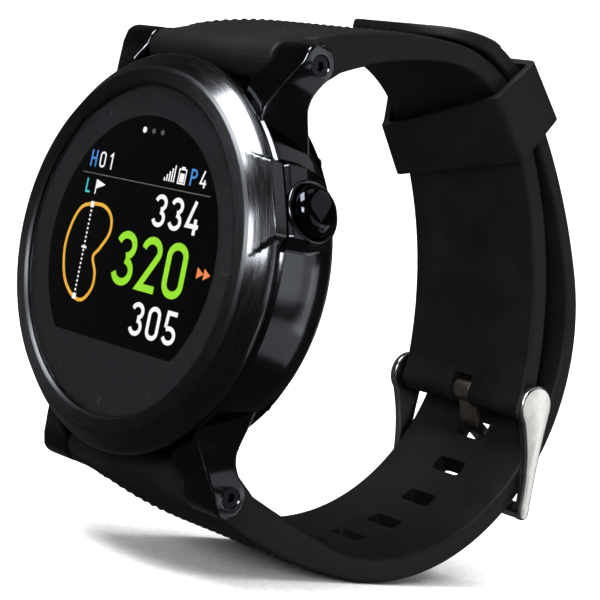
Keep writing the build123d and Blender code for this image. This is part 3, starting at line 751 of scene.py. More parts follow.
class WATCH_OT_lugs(bpy.types.Operator):
    """Four bevelled lugs with recesses for the bar screws"""

    bl_idname = "watch.lugs"
    bl_label = "Lugs"

    def execute(self, context):
        material = black_steel()
        inner, outer = case_size("lug_inner"), case_size("lug_outer")
        bar = lug_bar()
        bore = [(0, inner - 1), (0.9, inner - 1), (0.9, outer - 0.9), (1.2, outer - 0.9), (1.2, outer - 0.14),
                (1.36, outer + 0.02), (1.36, outer + 1), (0, outer + 1)]
        hole = shifted(across(turned(bore, angles=[i * 7.5 for i in range(48)])), 0, bar.x, bar.y)
        runs = [BELLY[-1][0] + i * 0.65 for i in range(17)]
        runs += [2.5 * math.sin(math.radians(i * 7)) for i in range(4, 13)]
        body = loft([lug_section(y) for y in sorted(runs)])
        mesh = cut(bare_mesh("lug", body), [hole])
        points = [vertex.co.copy() for vertex in mesh.vertices]
        faces = [tuple(face.vertices) for face in mesh.polygons]
        for hour, side in (("12", 1), ("6", -1)):
            for hand, name in ((1, "right"), (-1, "left")):
                copy = bpy.data.meshes.new("lug")
                copy.from_pydata([(p.x * hand, p.y, p.z * side) for p in points], [], faces)
                if hand * side < 0:
                    copy.flip_normals()
                piece("lug_" + hour + "_" + name, copy, material, "case", (), 30)
        return {"FINISHED"}


class WATCH_OT_bezel(bpy.types.Operator):
    """Brushed bezel with its satin rim"""

    bl_idname = "watch.bezel"
    bl_label = "Bezel"

    def execute(self, context):
        low, top, wide = case_size("bezel_low"), case_size("bezel_top"), case_size("bezel_radius")
        rim, seat = case_size("rim_radius"), case_size("glass_radius") + 0.06
        profile = rounded([(seat - 1.6, low, 0), (22.3, low, 0.05), (22.8, low + 0.35, 0.15),
                           (wide, 11.2, 0.2), (wide - 0.05, 11.7, 0.2), (22.85, 12.15, 0.15),
                           (22.44, 12.55, 0.1), (22.03, 12.95, 0.1), (21.62, 13.34, 0.1),
                           (rim + 0.28, top - 0.3, 0.12), (rim - 0.05, top, 0.12),
                           (seat + 0.35, top, 0.12), (seat, top - 0.3, 0.1),
                           (seat, 11.6, 0), (seat - 1.6, 11.6, 0)], 4)
        face = case_size("guard_face")

        def reach(r, z, angle):
            if r < rim + 0.1:
                return r
            flare = wide + 0.62 - max(z - 12.0, 0) * 1.75
            facing = soft_min(guard_reach(angle, face - max(10.5 - z, 0) * 1.2), flare, 0.25)
            return soft_max(r, facing, 0.4)
        skin = turned(profile, reach, round_angles())
        side = brushed_steel("brushed_black_coated_steel", tint("bezel"), 0.14, 0.30, 0.5)
        satin = brushed_steel("satin_black_coated_steel", tint("rim"), 0.36, 0.48, 0.25)
        ring = piece("bezel", skin, side, "case", ("bezel_ring",), 25)
        ring.data.materials.append(satin)
        flat_low, flat_high = -(top + 1) * MM, -(top - 0.34) * MM
        for patch in ring.data.polygons:
            if flat_low < patch.center.y < flat_high:
                patch.material_index = 1
        return {"FINISHED"}


# ---- glass and display ----
class WATCH_OT_glass(bpy.types.Operator):
    """Cover glass with the print on its back"""

    bl_idname = "watch.glass"
    bl_label = "Glass"

    def execute(self, context):
        radius, top = case_size("glass_radius"), case_size("glass_top")
        low = extent("cover_glass")[0].z
        profile = rounded([(0, low, 0), (radius, low, 0.1), (radius, top, 0.22), (0, top, 0)], 4)
        piece("crystal", turned(profile), clear_glass(), "case", ("cover_glass",), 30)
        deep = top - case_size("print_depth")
        print_profile = rounded([(0, low + 0.1, 0), (radius - 0.1, low + 0.1, 0), (radius - 0.1, deep, 0.02),
                                 (0, deep, 0)], 2)
        # Black glass ink, screen printed and baked: dense matt charcoal with a trace of mesh texture.
        ink = plain("screen_printed_ink", tint("print"), 0.5, 0.3, 0.004, Specular_IOR_Level=0.05)
        piece("border_print", turned(print_profile), ink, "case")
        ticks = []
        for hour in range(60):
            turn = math.radians(hour * 6)
            half, inner, outer = (0.11, 17.0, 17.9) if hour % 5 == 0 else (0.06, 17.5, 17.9)
            radial_run = Vector((math.cos(turn), math.sin(turn)))
            ticks.append(stroke([radial_run * inner, radial_run * outer], 2 * half, deep, 10))
        # The minute marks are printed in gloss ink, and show only as a change of shine.
        gloss = plain("gloss_printed_ink", opaque("#26282C"), 0.2, 0.3)
        piece("minute_marks", joined(ticks), gloss, "case")
        return {"FINISHED"}


def stroke(points, width, base, height):
    """A flat ribbon of even width along (x, y) points, lying on a surface at z = base; height in microns."""
    points = [Vector(point) for point in points]
    rings = []
    count = len(points)
    for i, here in enumerate(points):
        before, after = points[max(i - 1, 0)], points[min(i + 1, count - 1)]
        if 0 < i < count - 1:
            first, second = (here - before).normalized(), (after - here).normalized()
            run = (first + second).normalized()
            spread = 1 / max(run.dot(first), 0.35)
        else:
            run, spread = (after - before).normalized(), 1.0
        side = Vector((-run.y, run.x)) * width / 2 * spread
        top = base + height * MICRON
        low = base - height * MICRON
        left, right = here + side, here - side
        rings.append([(left.x, left.y, low), (left.x, left.y, top), (right.x, right.y, top),
                      (right.x, right.y, low)])
    return loft(rings)


def patch(outline, base, height):
    """A flat filled outline at z = base; height in microns."""
    rings = [[(p[0], p[1], base + end * height * MICRON) for p in outline] for end in (-1, 1)]
    return loft(rings)


def bow(cx, cy, radius, start_at, end_at, steps=14):
    """Points on a circular bow, angles in degrees."""
    turns = [math.radians(start_at + (end_at - start_at) * i / steps) for i in range(steps + 1)]
    return [Vector((cx + radius * math.cos(turn), cy + radius * math.sin(turn))) for turn in turns]


def glyph(sign):
    """Middle lines of a plain engineer's character, one unit high and about half as wide."""
    narrow = 0.19
    shapes = {
        "0": [bow(0.26, 0.74, narrow, 0, 180) + bow(0.26, 0.26, narrow, 180, 360) + [(0.45, 0.74)]],
        "1": [[(0.12, 0.76), (0.31, 0.93), (0.31, 0.0)]],
        "2": [bow(0.26, 0.74, narrow, 172, -28) + [(0.09, 0.07), (0.47, 0.07)]],
        "3": [bow(0.25, 0.735, 0.195, 165, -82), bow(0.25, 0.275, 0.205, 82, -165)],
        "4": [[(0.30, 0.99), (0.07, 0.25), (0.52, 0.25)], [(0.39, 0.47), (0.39, 0.0)]],
        "5": [[(0.45, 0.93), (0.12, 0.93), (0.09, 0.50)], bow(0.25, 0.285, 0.21, 128, -160)],
        "H": [[(0.07, 0.0), (0.07, 1.0)], [(0.45, 0.0), (0.45, 1.0)],
              [(0.07, 0.5), (0.45, 0.5)]],
        "P": [[(0.07, 0.0), (0.07, 0.93), (0.24, 0.93)] + bow(0.24, 0.71, 0.22, 85, -85)
              + [(0.07, 0.49)]],
        "L": [[(0.07, 1.0), (0.07, 0.07), (0.43, 0.07)]],
    }
    return shapes[sign]


def writing(signs, left, foot, height, pitch, weight, base):
    """Characters set in a row, each a set of even strokes."""
    skins = []
    for i, sign in enumerate(signs):
        for run in glyph(sign):
            placed = [(left + i * pitch + p.x * height * 1.22, foot + p.y * height)
                      for p in map(Vector, run)]
            skins.append(stroke(placed, weight * height, base, 20))
    return skins


def smooth_loop(points, steps=8):
    """A closed smooth curve through points."""
    loop = []
    count = len(points)
    for i in range(count):
        a, b, c, d = (Vector(points[(i + k) % count]) for k in (-1, 0, 1, 2))
        for k in range(steps):
            t = k / steps
            loop.append(0.5 * (2 * b + (c - a) * t + (2 * a - 5 * b + 4 * c - d) * t * t
                               + (3 * b - a - 3 * c + d) * t**3))
    return loop


class WATCH_OT_display(bpy.types.Operator):
    """Black picture area and the lit marks of a hole on a golf course"""

    bl_idname = "watch.display"
    bl_label = "Display"

    def execute(self, context):
        deep = case_size("glass_top") - case_size("print_depth") + 0.02
        radius, chord = case_size("picture_radius"), case_size("picture_chord")
        corner = math.degrees(math.asin(chord / radius))
        # The cell's unlit area: black glass, smooth and even.
        off = plain("unlit_cell", opaque("#010101"), 0.6, 2.0, Specular_IOR_Level=0.0)
        piece("picture_area", patch(bow(0, 0, radius, -corner, 180 + corner, 120), deep, 20), off, "case")
        base = deep + 0.04
        white = writing("334", 2.95, 3.3, 3.75, 3.02, 0.135, base)
        white += writing("305", 2.7, -9.2, 3.85, 3.1, 0.135, base)
        white += writing("01", -9.1, 8.62, 1.95, 1.72, 0.115, base)
        white += writing("4", 10.05, 8.6, 1.9, 1.4, 0.12, base)
        for i in range(5):
            x = 3.75 + i * 0.42
            white.append(stroke([(x, 8.6), (x, 9.0 + i * 0.38)], 0.2, base, 20))
        shell = [(6.2, 8.6), (6.2, 10.2), (7.45, 10.2), (7.45, 8.6), (6.2, 8.6), (6.2, 9.2)]
        white += [stroke(shell, 0.16, base, 20), stroke([(6.83, 8.75), (6.83, 9.75)], 0.8, base, 20),
                  stroke([(6.83, 10.2), (6.83, 10.5)], 0.6, base, 20)]
        white += [stroke([(-8.75, 5.5), (-8.75, 7.2)], 0.2, base, 20),
                  patch([(-8.7, 7.2), (-7.0, 6.75), (-8.7, 6.1)], base, 20)]
        white.append(patch(bow(-1.62, 13.85, 0.36, 0, 345, 23), base, 20))
        top_y, foot_y, dash_x = 4.25, -6.7, -8.75
        for i in range(21):
            y = top_y + (foot_y - top_y) * (i + 0.5) / 21
            white.append(stroke([(dash_x, y - 0.13), (dash_x, y + 0.13)], 0.26, base, 20))
        for y in (top_y, foot_y):
            white.append(stroke([(dash_x - 0.34, y), (dash_x + 0.34, y)], 0.68, base + 0.02, 20))
        white.append(stroke([(dash_x - 0.5, -0.85), (dash_x + 0.5, -0.85)], 0.26, base, 20))
        edge = [(-8.7, 4.3), (-6.3, 4.3), (-4.6, 3.2), (-4.35, 1.4), (-5.6, -0.5), (-6.6, -1.75),
                (-5.65, -3.5), (-5.7, -5.4), (-7.2, -6.9), (-9.3, -6.6), (-11.4, -4.8), (-12.5, -1.6),
                (-12.1, 1.4), (-10.8, 3.6)]
        loop = smooth_loop(edge)
        groups = {
            "white": white,
            "lime": writing("320", -2.55, -4.15, 6.35, 4.75, 0.135, base),
            "blue": writing("H", -10.85, 8.62, 1.95, 1.4, 0.13, base)
            + writing("P", 8.3, 8.6, 1.9, 1.4, 0.13, base),
            "cyan": writing("L", -10.75, 5.5, 1.65, 1.4, 0.15, base),
            "amber": [stroke(loop + loop[:2], 0.42, base, 15)],
            "orange": [patch([(x, 0.05), (x + 1.15, -0.58), (x, -1.22)], base, 20) for x in (12.8, 14.0)],
            "grey": [stroke([(-11.9, 7.82), (12.4, 7.82)], 0.12, base - 0.01, 20),
                     patch(bow(0.1, 13.85, 0.3, 0, 345, 23), base, 20),
                     patch(bow(1.75, 13.85, 0.3, 0, 345, 23), base, 20)],
        }
        for name, skins in groups.items():
            strength = 0.9 if name != "grey" else 0.5
            piece(name + "_marks", joined(skins), lit(name + "_cell_light", tint(name), strength), "case",
                  (), 20)
        return {"FINISHED"}


# ---- button ----
class WATCH_OT_button(bpy.types.Operator):
    """Domed push button and the collar round its well"""

    bl_idname = "watch.button"
    bl_label = "Button"

    def execute(self, context):
        # Steel cap, mirror polished before its black coating: deep gloss with sharp reflections.
        gloss = plain("mirror_polished_black_steel", opaque("#2E3034"), 0.06, 4.0, metallic=1.0)
        # The spring's end stands in a recess round the stem, deep enough for the button's travel.
        cap = rounded([(0, 18.1, 0), (0.9, 18.1, 0), (0.9, 23.75, 0), (1.95, 23.75, 0), (1.95, 23.0, 0),
                       (2.95, 23.0, 0.1), (2.95, 24.3, 0.5), (2.2, 25.15, 0.55), (0, 25.3, 0)], 6)
        sides = [i * 3.75 for i in range(96)]
        piece("push_button", moved(turned(cap, angles=sides), radial), gloss, "button",
              ("button_cap",), 40)
        collar = rounded([(3.1, 22.4, 0), (3.65, 22.4, 0), (3.65, 23.72, 0.2), (3.4, 23.85, 0.1),
                          (3.1, 23.7, 0.1)], 4)
        piece("button_collar", moved(turned(collar, angles=sides), radial), black_steel(), "case",
              (), 40)
        return {"FINISHED"}


# ---- strap ----
ROOT_TURN = 0.4         # height at which a strap's outer face leaves its root, mm
BEND_RADIUS = 16.1      # of the short strap's inner face round its bend, mm
LAYER_GAP = 0.5         # between the short strap and the tail that lies on it, mm
LOOP_RADIUS = 27.0      # of the long strap's inner face under the wrist, mm
LOOP_THICKNESS = 2.45   # of the long strap there, mm
FIRST_SLOT = -91.4      # heading of the slot nearest the lugs, degrees
USED_SLOT = 5           # the slot that the tang stands in, counted from 0
BAR_BORE = 0.95         # radius of the holes for the strap bars, mm
FULL_SHARE = 11.2       # half the width over which the ribs are drawn, mm


def loop_centre():
    """Centre of the long strap's curve under the wrist: (y, z)."""
    return joint_axis("keeper_slide") + Vector((-18.1, -3.6))


def half_width(z):
    """Half the strap's width at a height: narrow between the lugs, wide at the shoulders."""
    neck = case_size("lug_inner") - 0.25
    shoulder, end = strap_size("shoulder") / 2, strap_size("width") / 2
    bar = lug_bar().y
    stops = [(bar - 2.75, neck), (bar - 3.15, shoulder), (-1.5, shoulder), (-20, end)]
    if z >= stops[0][0]:
        return neck
    for (z1, w1), (z2, w2) in zip(stops, stops[1:]):
        if z >= z2:
            share = (z1 - z) / (z1 - z2)
            return w1 + (w2 - w1) * share
    return end


def section(inner, outer, ribs=None, run=0.0, narrow=None, faces=88):
    """One rounded cross-section of a strap between its inner and outer (y, z) points."""
    depth = (outer - inner).length
    out = (outer - inner).normalized()
    edge = min(strap_size("edge"), depth * 0.45)
    half = narrow if narrow else 1.0
    ring = []

    def put(share, u, lift=0.0):
        """share: -1 to 1 across, or beyond by the corner's turn; u: 0 inner to depth outer."""
        place = inner + out * (u + lift)
        wide = half if narrow else half_width(place.y)
        ring.append(((wide - edge) * share[0] + edge * share[1], place.x, place.y))

    def corner(side, turns, face):
        """One rounded long edge; face is 1 on the strap's outer face and 0 on its inner."""
        for turn in turns:
            rise = edge * (1 - math.cos(math.radians(turn)))
            put((side, side * math.sin(math.radians(turn))), depth - rise if face else rise)
    rounding = (22.5, 45, 67.5, 90)
    for i in range(9):
        put((-1 + i / 4, 0), 0)
    corner(1, rounding, 0)
    corner(1, rounding[::-1], 1)
    for i in range(faces + 1):
        share = 1 - 2 * i / faces
        put((share, 0), depth, ribs(share, run) if ribs else 0.0)
    corner(-1, rounding, 1)
    corner(-1, rounding[::-1], 0)
    return ring


def rib_lift(share, run):
    """Height of the slanting ribs at a place across and along the outer face."""
    pitch, height = strap_size("rib_pitch"), strap_size("rib_height")
    wave = math.cos(math.tau * (share * FULL_SHARE + run) / (pitch * math.sqrt(2)))
    rise = min(max((run - 5.4) / 0.5, 0), 1) * min(max((26 - run) / 9, 0), 1)
    edge = min(max((1 - abs(share)) * FULL_SHARE / 0.5, 0), 1)
    return height * (0.5 + 0.5 * wave) * rise * edge


def strap_rings(stretches):
    """Cross-sections along pairs of inner and outer curves; each stretch is (inner, outer, count)."""
    rings, run, last = [], 0.0, None
    for inner, outer, count in stretches:
        for k in range(count):
            a, b = inner(k / count), outer(k / count)
            if last is not None:
                run += (b - last).length
            last = b
            rings.append((a, b, run))
    a, b = stretches[-1][0](1), stretches[-1][1](1)
    rings.append((a, b, run + (b - last).length))
    return rings


def cap_curve(centre, radius, start_at, sign):
    """A curve down from near the top of a barrel to its side, which sign picks."""
    def at(t):
        turn = math.radians(start_at * (1 - t))
        return centre + Vector((sign * math.cos(turn), math.sin(turn))) * radius
    return at


class WATCH_OT_short_strap(bpy.types.Operator):
    """Short strap from the twelve o'clock lugs to the buckle"""

    bl_idname = "watch.short_strap"
    bl_label = "Short strap"

    def execute(self, context):
        bar, bend, pin = lug_bar(), joint_axis("keeper_slide"), joint_axis("buckle_pivot")
        thick = strap_size("thickness")
        inner_r, outer_r, far_r = BEND_RADIUS, BEND_RADIUS + thick, 53.0
        far = bend - heading_normal(39) * (far_r - inner_r)
        far_end = math.degrees(math.asin((pin.x - far.x) / far_r))
        near_end = far_end + 2.6
        outer_root = arc_by((bar.x + 4.3, ROOT_TURN), (31.3, -11.0), bend + heading_normal(94) * outer_r)
        inner_root = arc_by((24.7, -2.5), (28.0, -12.0), bend + heading_normal(91) * inner_r)
        cap_in, cap_out = (cap_curve(bar, BARREL, 86, sign) for sign in (-1, 1))
        barrel = 2.0
        last_in, last_out = (far + heading_normal(near_end) * r for r in (far_r, far_r + thick))

        def round_pin(sign):
            """Nearly a quarter turn round the buckle's pin, from above or below it."""
            turn = math.radians(86)
            return lambda t: pin + Vector((-math.sin(turn * t), sign * math.cos(turn * t))) * barrel
        stretches = [
            (cap_in, cap_out, 10),
            (line(cap_in(1), (bar.x - BARREL + 0.2, 1.2)), line(cap_out(1), (bar.x + 4.3, ROOT_TURN)), 8),
            (line((bar.x - BARREL + 0.2, 1.2), (24.7, -2.5)), part(outer_root, 0, 0.16), 14),
            (inner_root, part(outer_root, 0.16, 1), 90),
            (arc(bend, inner_r, 91, 39), arc(bend, outer_r, 94, 39), 44),
            (arc(far, far_r, 39, near_end), arc(far, far_r + thick, 39, near_end), 40),
            (arc_by(last_in, last_in.lerp(pin + Vector((0, barrel)), 0.5) + Vector((0, -0.04)),
                    pin + Vector((0, barrel))),
             arc_by(last_out, last_out.lerp(pin - Vector((0, barrel)), 0.5) + Vector((0, 0.12)),
                    pin - Vector((0, barrel))), 8),
            (round_pin(1), round_pin(-1), 8),
        ]
        rings = [section(a, b, rib_lift, run) for a, b, run in strap_rings(stretches)]
        mesh = bare_mesh("short_strap", loft(rings))
        half = 1.8
        notch = rounded([(pin.x - 9, pin.y - 6, 0), (pin.x - 9, pin.y + 6, 0), (pin.x + 2.1, pin.y + 6, 0),
                         (pin.x + 2.1, pin.y - 6, 0)])
        window = plate(notch, -half, half, 0.01, 0.01, 1)
        bores = [shifted(across(rod(r, -15, 15, 48)), 0, centre.x, centre.y)
                 for r, centre in ((0.8, pin), (BAR_BORE, bar))]
        mesh = bevelled(cut(mesh, [window] + bores), 0.15, 50)
        piece("buckle_strap", mesh, silicone(), "short_strap", ("strap_12",), 40)
        return {"FINISHED"}


class WATCH_OT_long_strap(bpy.types.Operator):
    """Long strap with its slots, from the six o'clock lugs to its rounded tip"""

    bl_idname = "watch.long_strap"
    bl_label = "Long strap"

    def execute(self, context):
        bar, bend = joint_axis("long_strap_pivot"), joint_axis("keeper_slide")
        loop = loop_centre()
        loop_r, extra, wide_r = LOOP_RADIUS, LOOP_THICKNESS, 75.0
        outer_axis = loop + Vector((-0.6, 0.25))
        tail = strap_size("tail")
        tail_in = BEND_RADIUS + strap_size("thickness") + LAYER_GAP
        tail_out = tail_in + tail
        in_axis, in_a, in_b = bridge(loop, loop_r, bend, tail_in, wide_r)
        out_axis, out_a, out_b = bridge(outer_axis, loop_r + extra, bend, tail_out, wide_r + tail)
        round_in, round_out = arc(loop, loop_r, -101, in_a), arc(outer_axis, loop_r + extra, -101, out_a)
        outer_root = arc_by((bar.x - 4.3, ROOT_TURN), (-32.15, -9.4), round_out(0))
        throat = (bar.x - 0.6, -2.5)
        inner_root = arc_by(throat, (-28.3, -11.2), round_in(0))
        cap_in, cap_out = (cap_curve(bar, BARREL, 86, sign) for sign in (1, -1))
        thinning, tip = 74, 98
        bend_in, bend_out = arc(bend, tail_in, in_b, thinning), arc(bend, tail_out, out_b, thinning)
        tip_thick = 1.2
        mean_out = tail_in + (tail + tip_thick) / 2
        tip_out = bend + heading_normal(tip) * (tail_in + tip_thick)
        tail_in_curve = arc(bend, tail_in, thinning, tip)
        tail_out_curve = arc_by(bend_out(1), bend + heading_normal((thinning + tip) / 2) * mean_out, tip_out)
        stretches = [
            (cap_in, cap_out, 10),
            (line(cap_in(1), (bar.x + BARREL - 0.2, 1.2)), line(cap_out(1), (bar.x - 4.3, ROOT_TURN)), 8),
            (line((bar.x + BARREL - 0.2, 1.2), throat), part(outer_root, 0, 0.2), 14),
            (inner_root, part(outer_root, 0.2, 1), 70),
            (round_in, round_out, 120),
            (arc(in_axis, wide_r, in_a, in_b), arc(out_axis, wide_r + tail, out_a, out_b), 40),
            (bend_in, bend_out, 40),
            (tail_in_curve, tail_out_curve, 36),
        ]
        stations = strap_rings(stretches)
        half, tip_round = strap_size("width") / 2, 9.0
        rings = []
        for i, (a, b, run) in enumerate(stations):
            narrow = None
            to_tip = tail_in_curve(1).y - a.y
            if i > len(stations) - 60 and to_tip < tip_round:
                side = tip_round - max(to_tip, 0)
                narrow = half - tip_round + math.sqrt(max(tip_round**2 - side**2, 0)) + 0.3
            rings.append(section(a, b, rib_lift, run, narrow))
        mesh = bare_mesh("long_strap", loft(rings))
        cutters = []
        across_half, along_half = strap_size("slot_length") / 2, strap_size("slot_width") / 2
        for i in range(context.scene.watch_strap.slots):
            turn = math.radians(FIRST_SLOT) + context.scene.watch_strap.slot_pitch * i
            long = along_half + (strap_size("slot_stretch") / 2 if i == USED_SLOT else 0)
            outline = rounded([(-across_half, -long, 0.7), (across_half, -long, 0.7),
                               (across_half, long, 0.7), (-across_half, long, 0.7)], 4)

            def place(x, y, z, turn=turn):
                out = Vector((math.sin(turn), -math.cos(turn)))
                along = Vector((math.cos(turn), math.sin(turn)))
                spot = loop + out * z + along * y
                return (x, spot.x, spot.y)
            narrowing = 1.0 if i == USED_SLOT else 0.5
            rings = [[(p.x, p.y * share, z) for p in outline]
                     for z, share in ((loop_r - 2, 1.0), (loop_r + 0.2, 1.0), (loop_r + 2.2, narrowing),
                                      (loop_r + 5, narrowing))]
            cutters.append(moved(loft(rings), place))
        bore = shifted(across(rod(BAR_BORE, -15, 15, 48)), 0, bar.x, bar.y)
        mesh = bevelled(cut(mesh, cutters + [bore]), 0.16, 50)
        piece("slotted_strap", mesh, silicone(), "long_strap", ("strap_6",), 40)
        return {"FINISHED"}


class WATCH_OT_keeper(bpy.types.Operator):
    """Moulded loop that holds the strap's tail"""

    bl_idname = "watch.keeper"
    bl_label = "Keeper"

    def execute(self, context):
        bend = joint_axis("keeper_slide")
        middle = 46.5
        run = Vector((-heading_normal(middle).y, heading_normal(middle).x))
        thick, tail = strap_size("thickness"), strap_size("tail")
        wall, side_wall, gap = 0.95, 1.0, 0.4
        long_half = strap_size("keeper_length") / 2
        low = BEND_RADIUS - gap
        low -= low * (1 - math.cos(math.asin(long_half / low)))
        high = BEND_RADIUS + thick + LAYER_GAP + tail + gap
        half_in = strap_size("width") / 2 + 0.5
        skew = strap_size("keeper_skew")
        corner_in, corner_out = 0.5, 1.1
        inner = rounded([(-half_in, low, corner_in), (half_in, low, corner_in), (half_in, high, corner_in),
                         (-half_in, high, corner_in)], 5)
        half_out = half_in + side_wall
        outer = rounded([(-half_out, low - wall, corner_out), (half_out, low - wall, corner_out),
                         (half_out, high + wall, corner_out), (-half_out, high + wall, corner_out)], 5)
        dense = 8
        rings = []
        count = len(inner)
        for i in range(count):
            steps = dense if (inner[(i + 1) % count] - inner[i]).length > 1 else 1
            for k in range(steps):
                t = k / steps
                a = inner[i].lerp(inner[(i + 1) % count], t)
                b = outer[i].lerp(outer[(i + 1) % count], t)
                out = (b - a).normalized()
                deep = (b - a).length
                ring = []
                for u, s in keeper_section(deep, long_half):
                    p = a + out * u
                    free = min(max((half_in - p.x) / (2 * half_in), 0), 1)
                    inside = min(max((high - p.y) / (high - low), 0), 1)
                    upper = long_half - 1.2 * skew * free * inside
                    lower = -long_half - (0.9 + 0.8 * skew * free) * inside
                    along = lower + (s / long_half + 1) / 2 * (upper - lower)
                    reach = p.y - 0.016 * max(-along - 2, 0)**2 * inside
                    spot = bend + heading_normal(middle) * reach + run * along
                    ring.append((p.x, spot.x, spot.y))
                rings.append(ring)
        piece("keeper_loop", loft(rings, closed=True), silicone(), "keeper_loop", ("keeper",), 35)
        return {"FINISHED"}


def keeper_section(deep, long_half):
    """Rounded cross-section of the keeper's wall: (depth, along) points."""
    soft = 0.14
    outline = rounded([(0, -long_half, soft), (deep, -long_half, soft), (deep, long_half, soft),
                       (0, long_half, soft)], 3)
    return [(p.x, p.y) for p in outline]


# ---- buckle ----
class WATCH_OT_buckle(bpy.types.Operator):
    """Polished buckle frame and its tang"""

    bl_idname = "watch.buckle"
    bl_label = "Buckle"

    def execute(self, context):
        pin, loop = joint_axis("buckle_pivot"), loop_centre()
        bar_r, end_r = 1.05, 2.9
        bar = loop + heading_normal(-38.5) * (LOOP_RADIUS + LOOP_THICKNESS + 0.6 + bar_r)
        top = [pin + Vector((math.cos(turn), math.sin(turn))) * end_r
               for turn in (math.radians(-95 + 235 * i / 28) for i in range(29))]
        far = Vector((bar.x - 0.1, bar.y + bar_r))
        low = Vector((bar.x + 0.2, bar.y - bar_r + 0.1))
        inner_edge = arc_by(top[-1], ((far.x + top[-1].x) / 2, pin.y - 0.25), far)
        nose = arc_by(far, (bar.x - bar_r - 0.1, bar.y), low)
        outer_edge = arc_by(low, ((top[0].x + low.x) / 2 - 0.3, pin.y - end_r + 0.25), top[0])
        outline = top + [inner_edge(i / 16) for i in range(1, 16)] + [nose(i / 8) for i in range(9)]
        outline += [outer_edge(i / 16) for i in range(1, 16)]
        start_x = strap_size("width") / 2 + 0.35
        end_x = start_x + strap_size("plate")
        skins = [plate(outline, side * start_x, side * end_x, 0.3, 0.4, 5) for side in (1, -1)]
        skins.append(shifted(across(rod(bar_r, -start_x - 0.4, start_x + 0.4, 48)), 0, bar.x, bar.y))
        # 304 stainless steel, stamped, tumbled and polished: bright and pale with soft scuffs.
        polish = plain("polished_stainless", tint("buckle"), 0.22, 1.5, 0.004, metallic=1.0)
        piece("buckle_bow", joined(skins), polish, "buckle", ("buckle_frame",), 40)
        # The tang is drawn stainless strip rolled round the pin: duller and warmer.
        drawn = plain("drawn_stainless", tint("tang"), 0.3, 0.6, 0.006, metallic=1.0)
        thick, half, rest = 1.2, 1.5, 0.02
        turn = math.radians(FIRST_SLOT - 0.4) + context.scene.watch_strap.slot_pitch * USED_SLOT
        heading = math.degrees(turn)
        inside = loop + heading_normal(heading + 1.2) * (LOOP_RADIUS - 0.9)
        outside = loop + heading_normal(heading) * (LOOP_RADIUS + LOOP_THICKNESS + 0.95)
        spoke = bar - outside
        rise = bar_r + thick / 2 + rest
        lean = math.atan2(spoke.y, spoke.x) + math.asin(rise / spoke.length)
        tip = outside + Vector((math.cos(lean), math.sin(lean))) * (spoke.length + 0.9)
        path = bent([pin + (inside - pin).normalized() * 1.0, inside, outside, tip], 0.65)
        rings = []
        for i, here in enumerate(path):
            run = (path[min(i + 1, len(path) - 1)] - path[max(i - 1, 0)]).normalized()
            side = Vector((-run.y, run.x))
            taper = min((len(path) - 1 - i) / 3, 1)
            deep = thick * (0.62 + 0.38 * taper)
            wide = half * (0.75 + 0.25 * taper)
            outline = rounded([(-wide, -deep / 2, 0.25), (wide, -deep / 2, 0.25), (wide, deep / 2, 0.25),
                               (-wide, deep / 2, 0.25)], 3)
            rings.append([(p.x, (here + side * p.y).x, (here + side * p.y).y) for p in outline])
        eye = rounded([(0.8, -half, 0.1), (1.6, -half, 0.2), (1.6, half, 0.2), (0.8, half, 0.1)], 3)
        roll = shifted(across(turned(eye, angles=[i * 7.5 for i in range(48)])), 0, pin.x, pin.y)
        piece("tang", joined([loft(rings), roll]), drawn, "tang", ("buckle_tang",), 40)
        return {"FINISHED"}


def bent(points, radius, steps=6):
    """An open path through points, with its inner corners rounded."""
    path = [points[0]]
    for before, here, after in zip(points, points[1:], points[2:]):
        a = here + (before - here).normalized() * radius
        b = here + (after - here).normalized() * radius
        for k in range(steps + 1):
            t = k / steps
            path.append(a * (1 - t)**2 + here * 2 * t * (1 - t) + b * t * t)
    tail = points[-1]
    last = path[-1]
    path += [last.lerp(tail, k / 6) for k in range(1, 7)]
    return path


class WATCH_OT_frame_finish(bpy.types.Operator):
    """Finishes for the frame's own parts that stay in view"""

    bl_idname = "watch.frame_finish"
    bl_label = "Frame finishes"

    def execute(self, context):
        for material, nodes in frame_finishes().items():
            for node in nodes:
                thing = frame["nodes"][node]
                thing.data.materials.clear()
                thing.data.materials.append(material)
        return {"FINISHED"}


# ---- stage ----
# Each lamp: name, direction from the watch, distance, direction of its long side, its two sizes in metres,
# its brightness, and whether polished surfaces mirror it.
LAMPS = (
    ("overhead_fill", (0.0, 0.1, 1.0), 1.5, (1, 0, 0), (2.4, 2.4), 2.6, False),
    ("front_fill", (0.2, -1.0, 0.35), 1.6, (1, 0, 0), (1.2, 1.2), 0.5, False),
    ("bezel_strip", (0.0, -0.52, 0.86), 0.9, (-0.61, 0.265, 0.197), (0.62, 0.34), 20.0, True),
    ("side_strip", (0.57, -0.77, 0.28), 0.9, (-0.1, 0.1, 1.0), (0.26, 0.26), 26.0, True),
    ("lug_card", (0.93, 0.36, 0.08), 1.1, (0.36, -0.93, 0), (0.9, 0.6), 0.6, True),
    ("rear_card", (0.35, 0.66, 0.66), 1.2, (1, 0, 0), (1.0, 0.4), 0.55, True),
    ("flank_card", (0.74, 0.66, 0.08), 1.2, (0.66, -0.74, 0), (0.5, 0.5), 0.8, True),
    ("low_card", (0.6, 0.66, -0.42), 1.0, (0.66, -0.74, 0), (0.6, 0.3), 0.7, True),
    ("buckle_card", (0.58, 0.81, -0.10), 1.0, (0.8, -0.6, 0), (0.22, 0.5), 1.5, True),
    ("top_card", (0.1, 0.15, 1.0), 1.1, (1, 0, 0), (0.5, 0.5), 0.8, True),
)


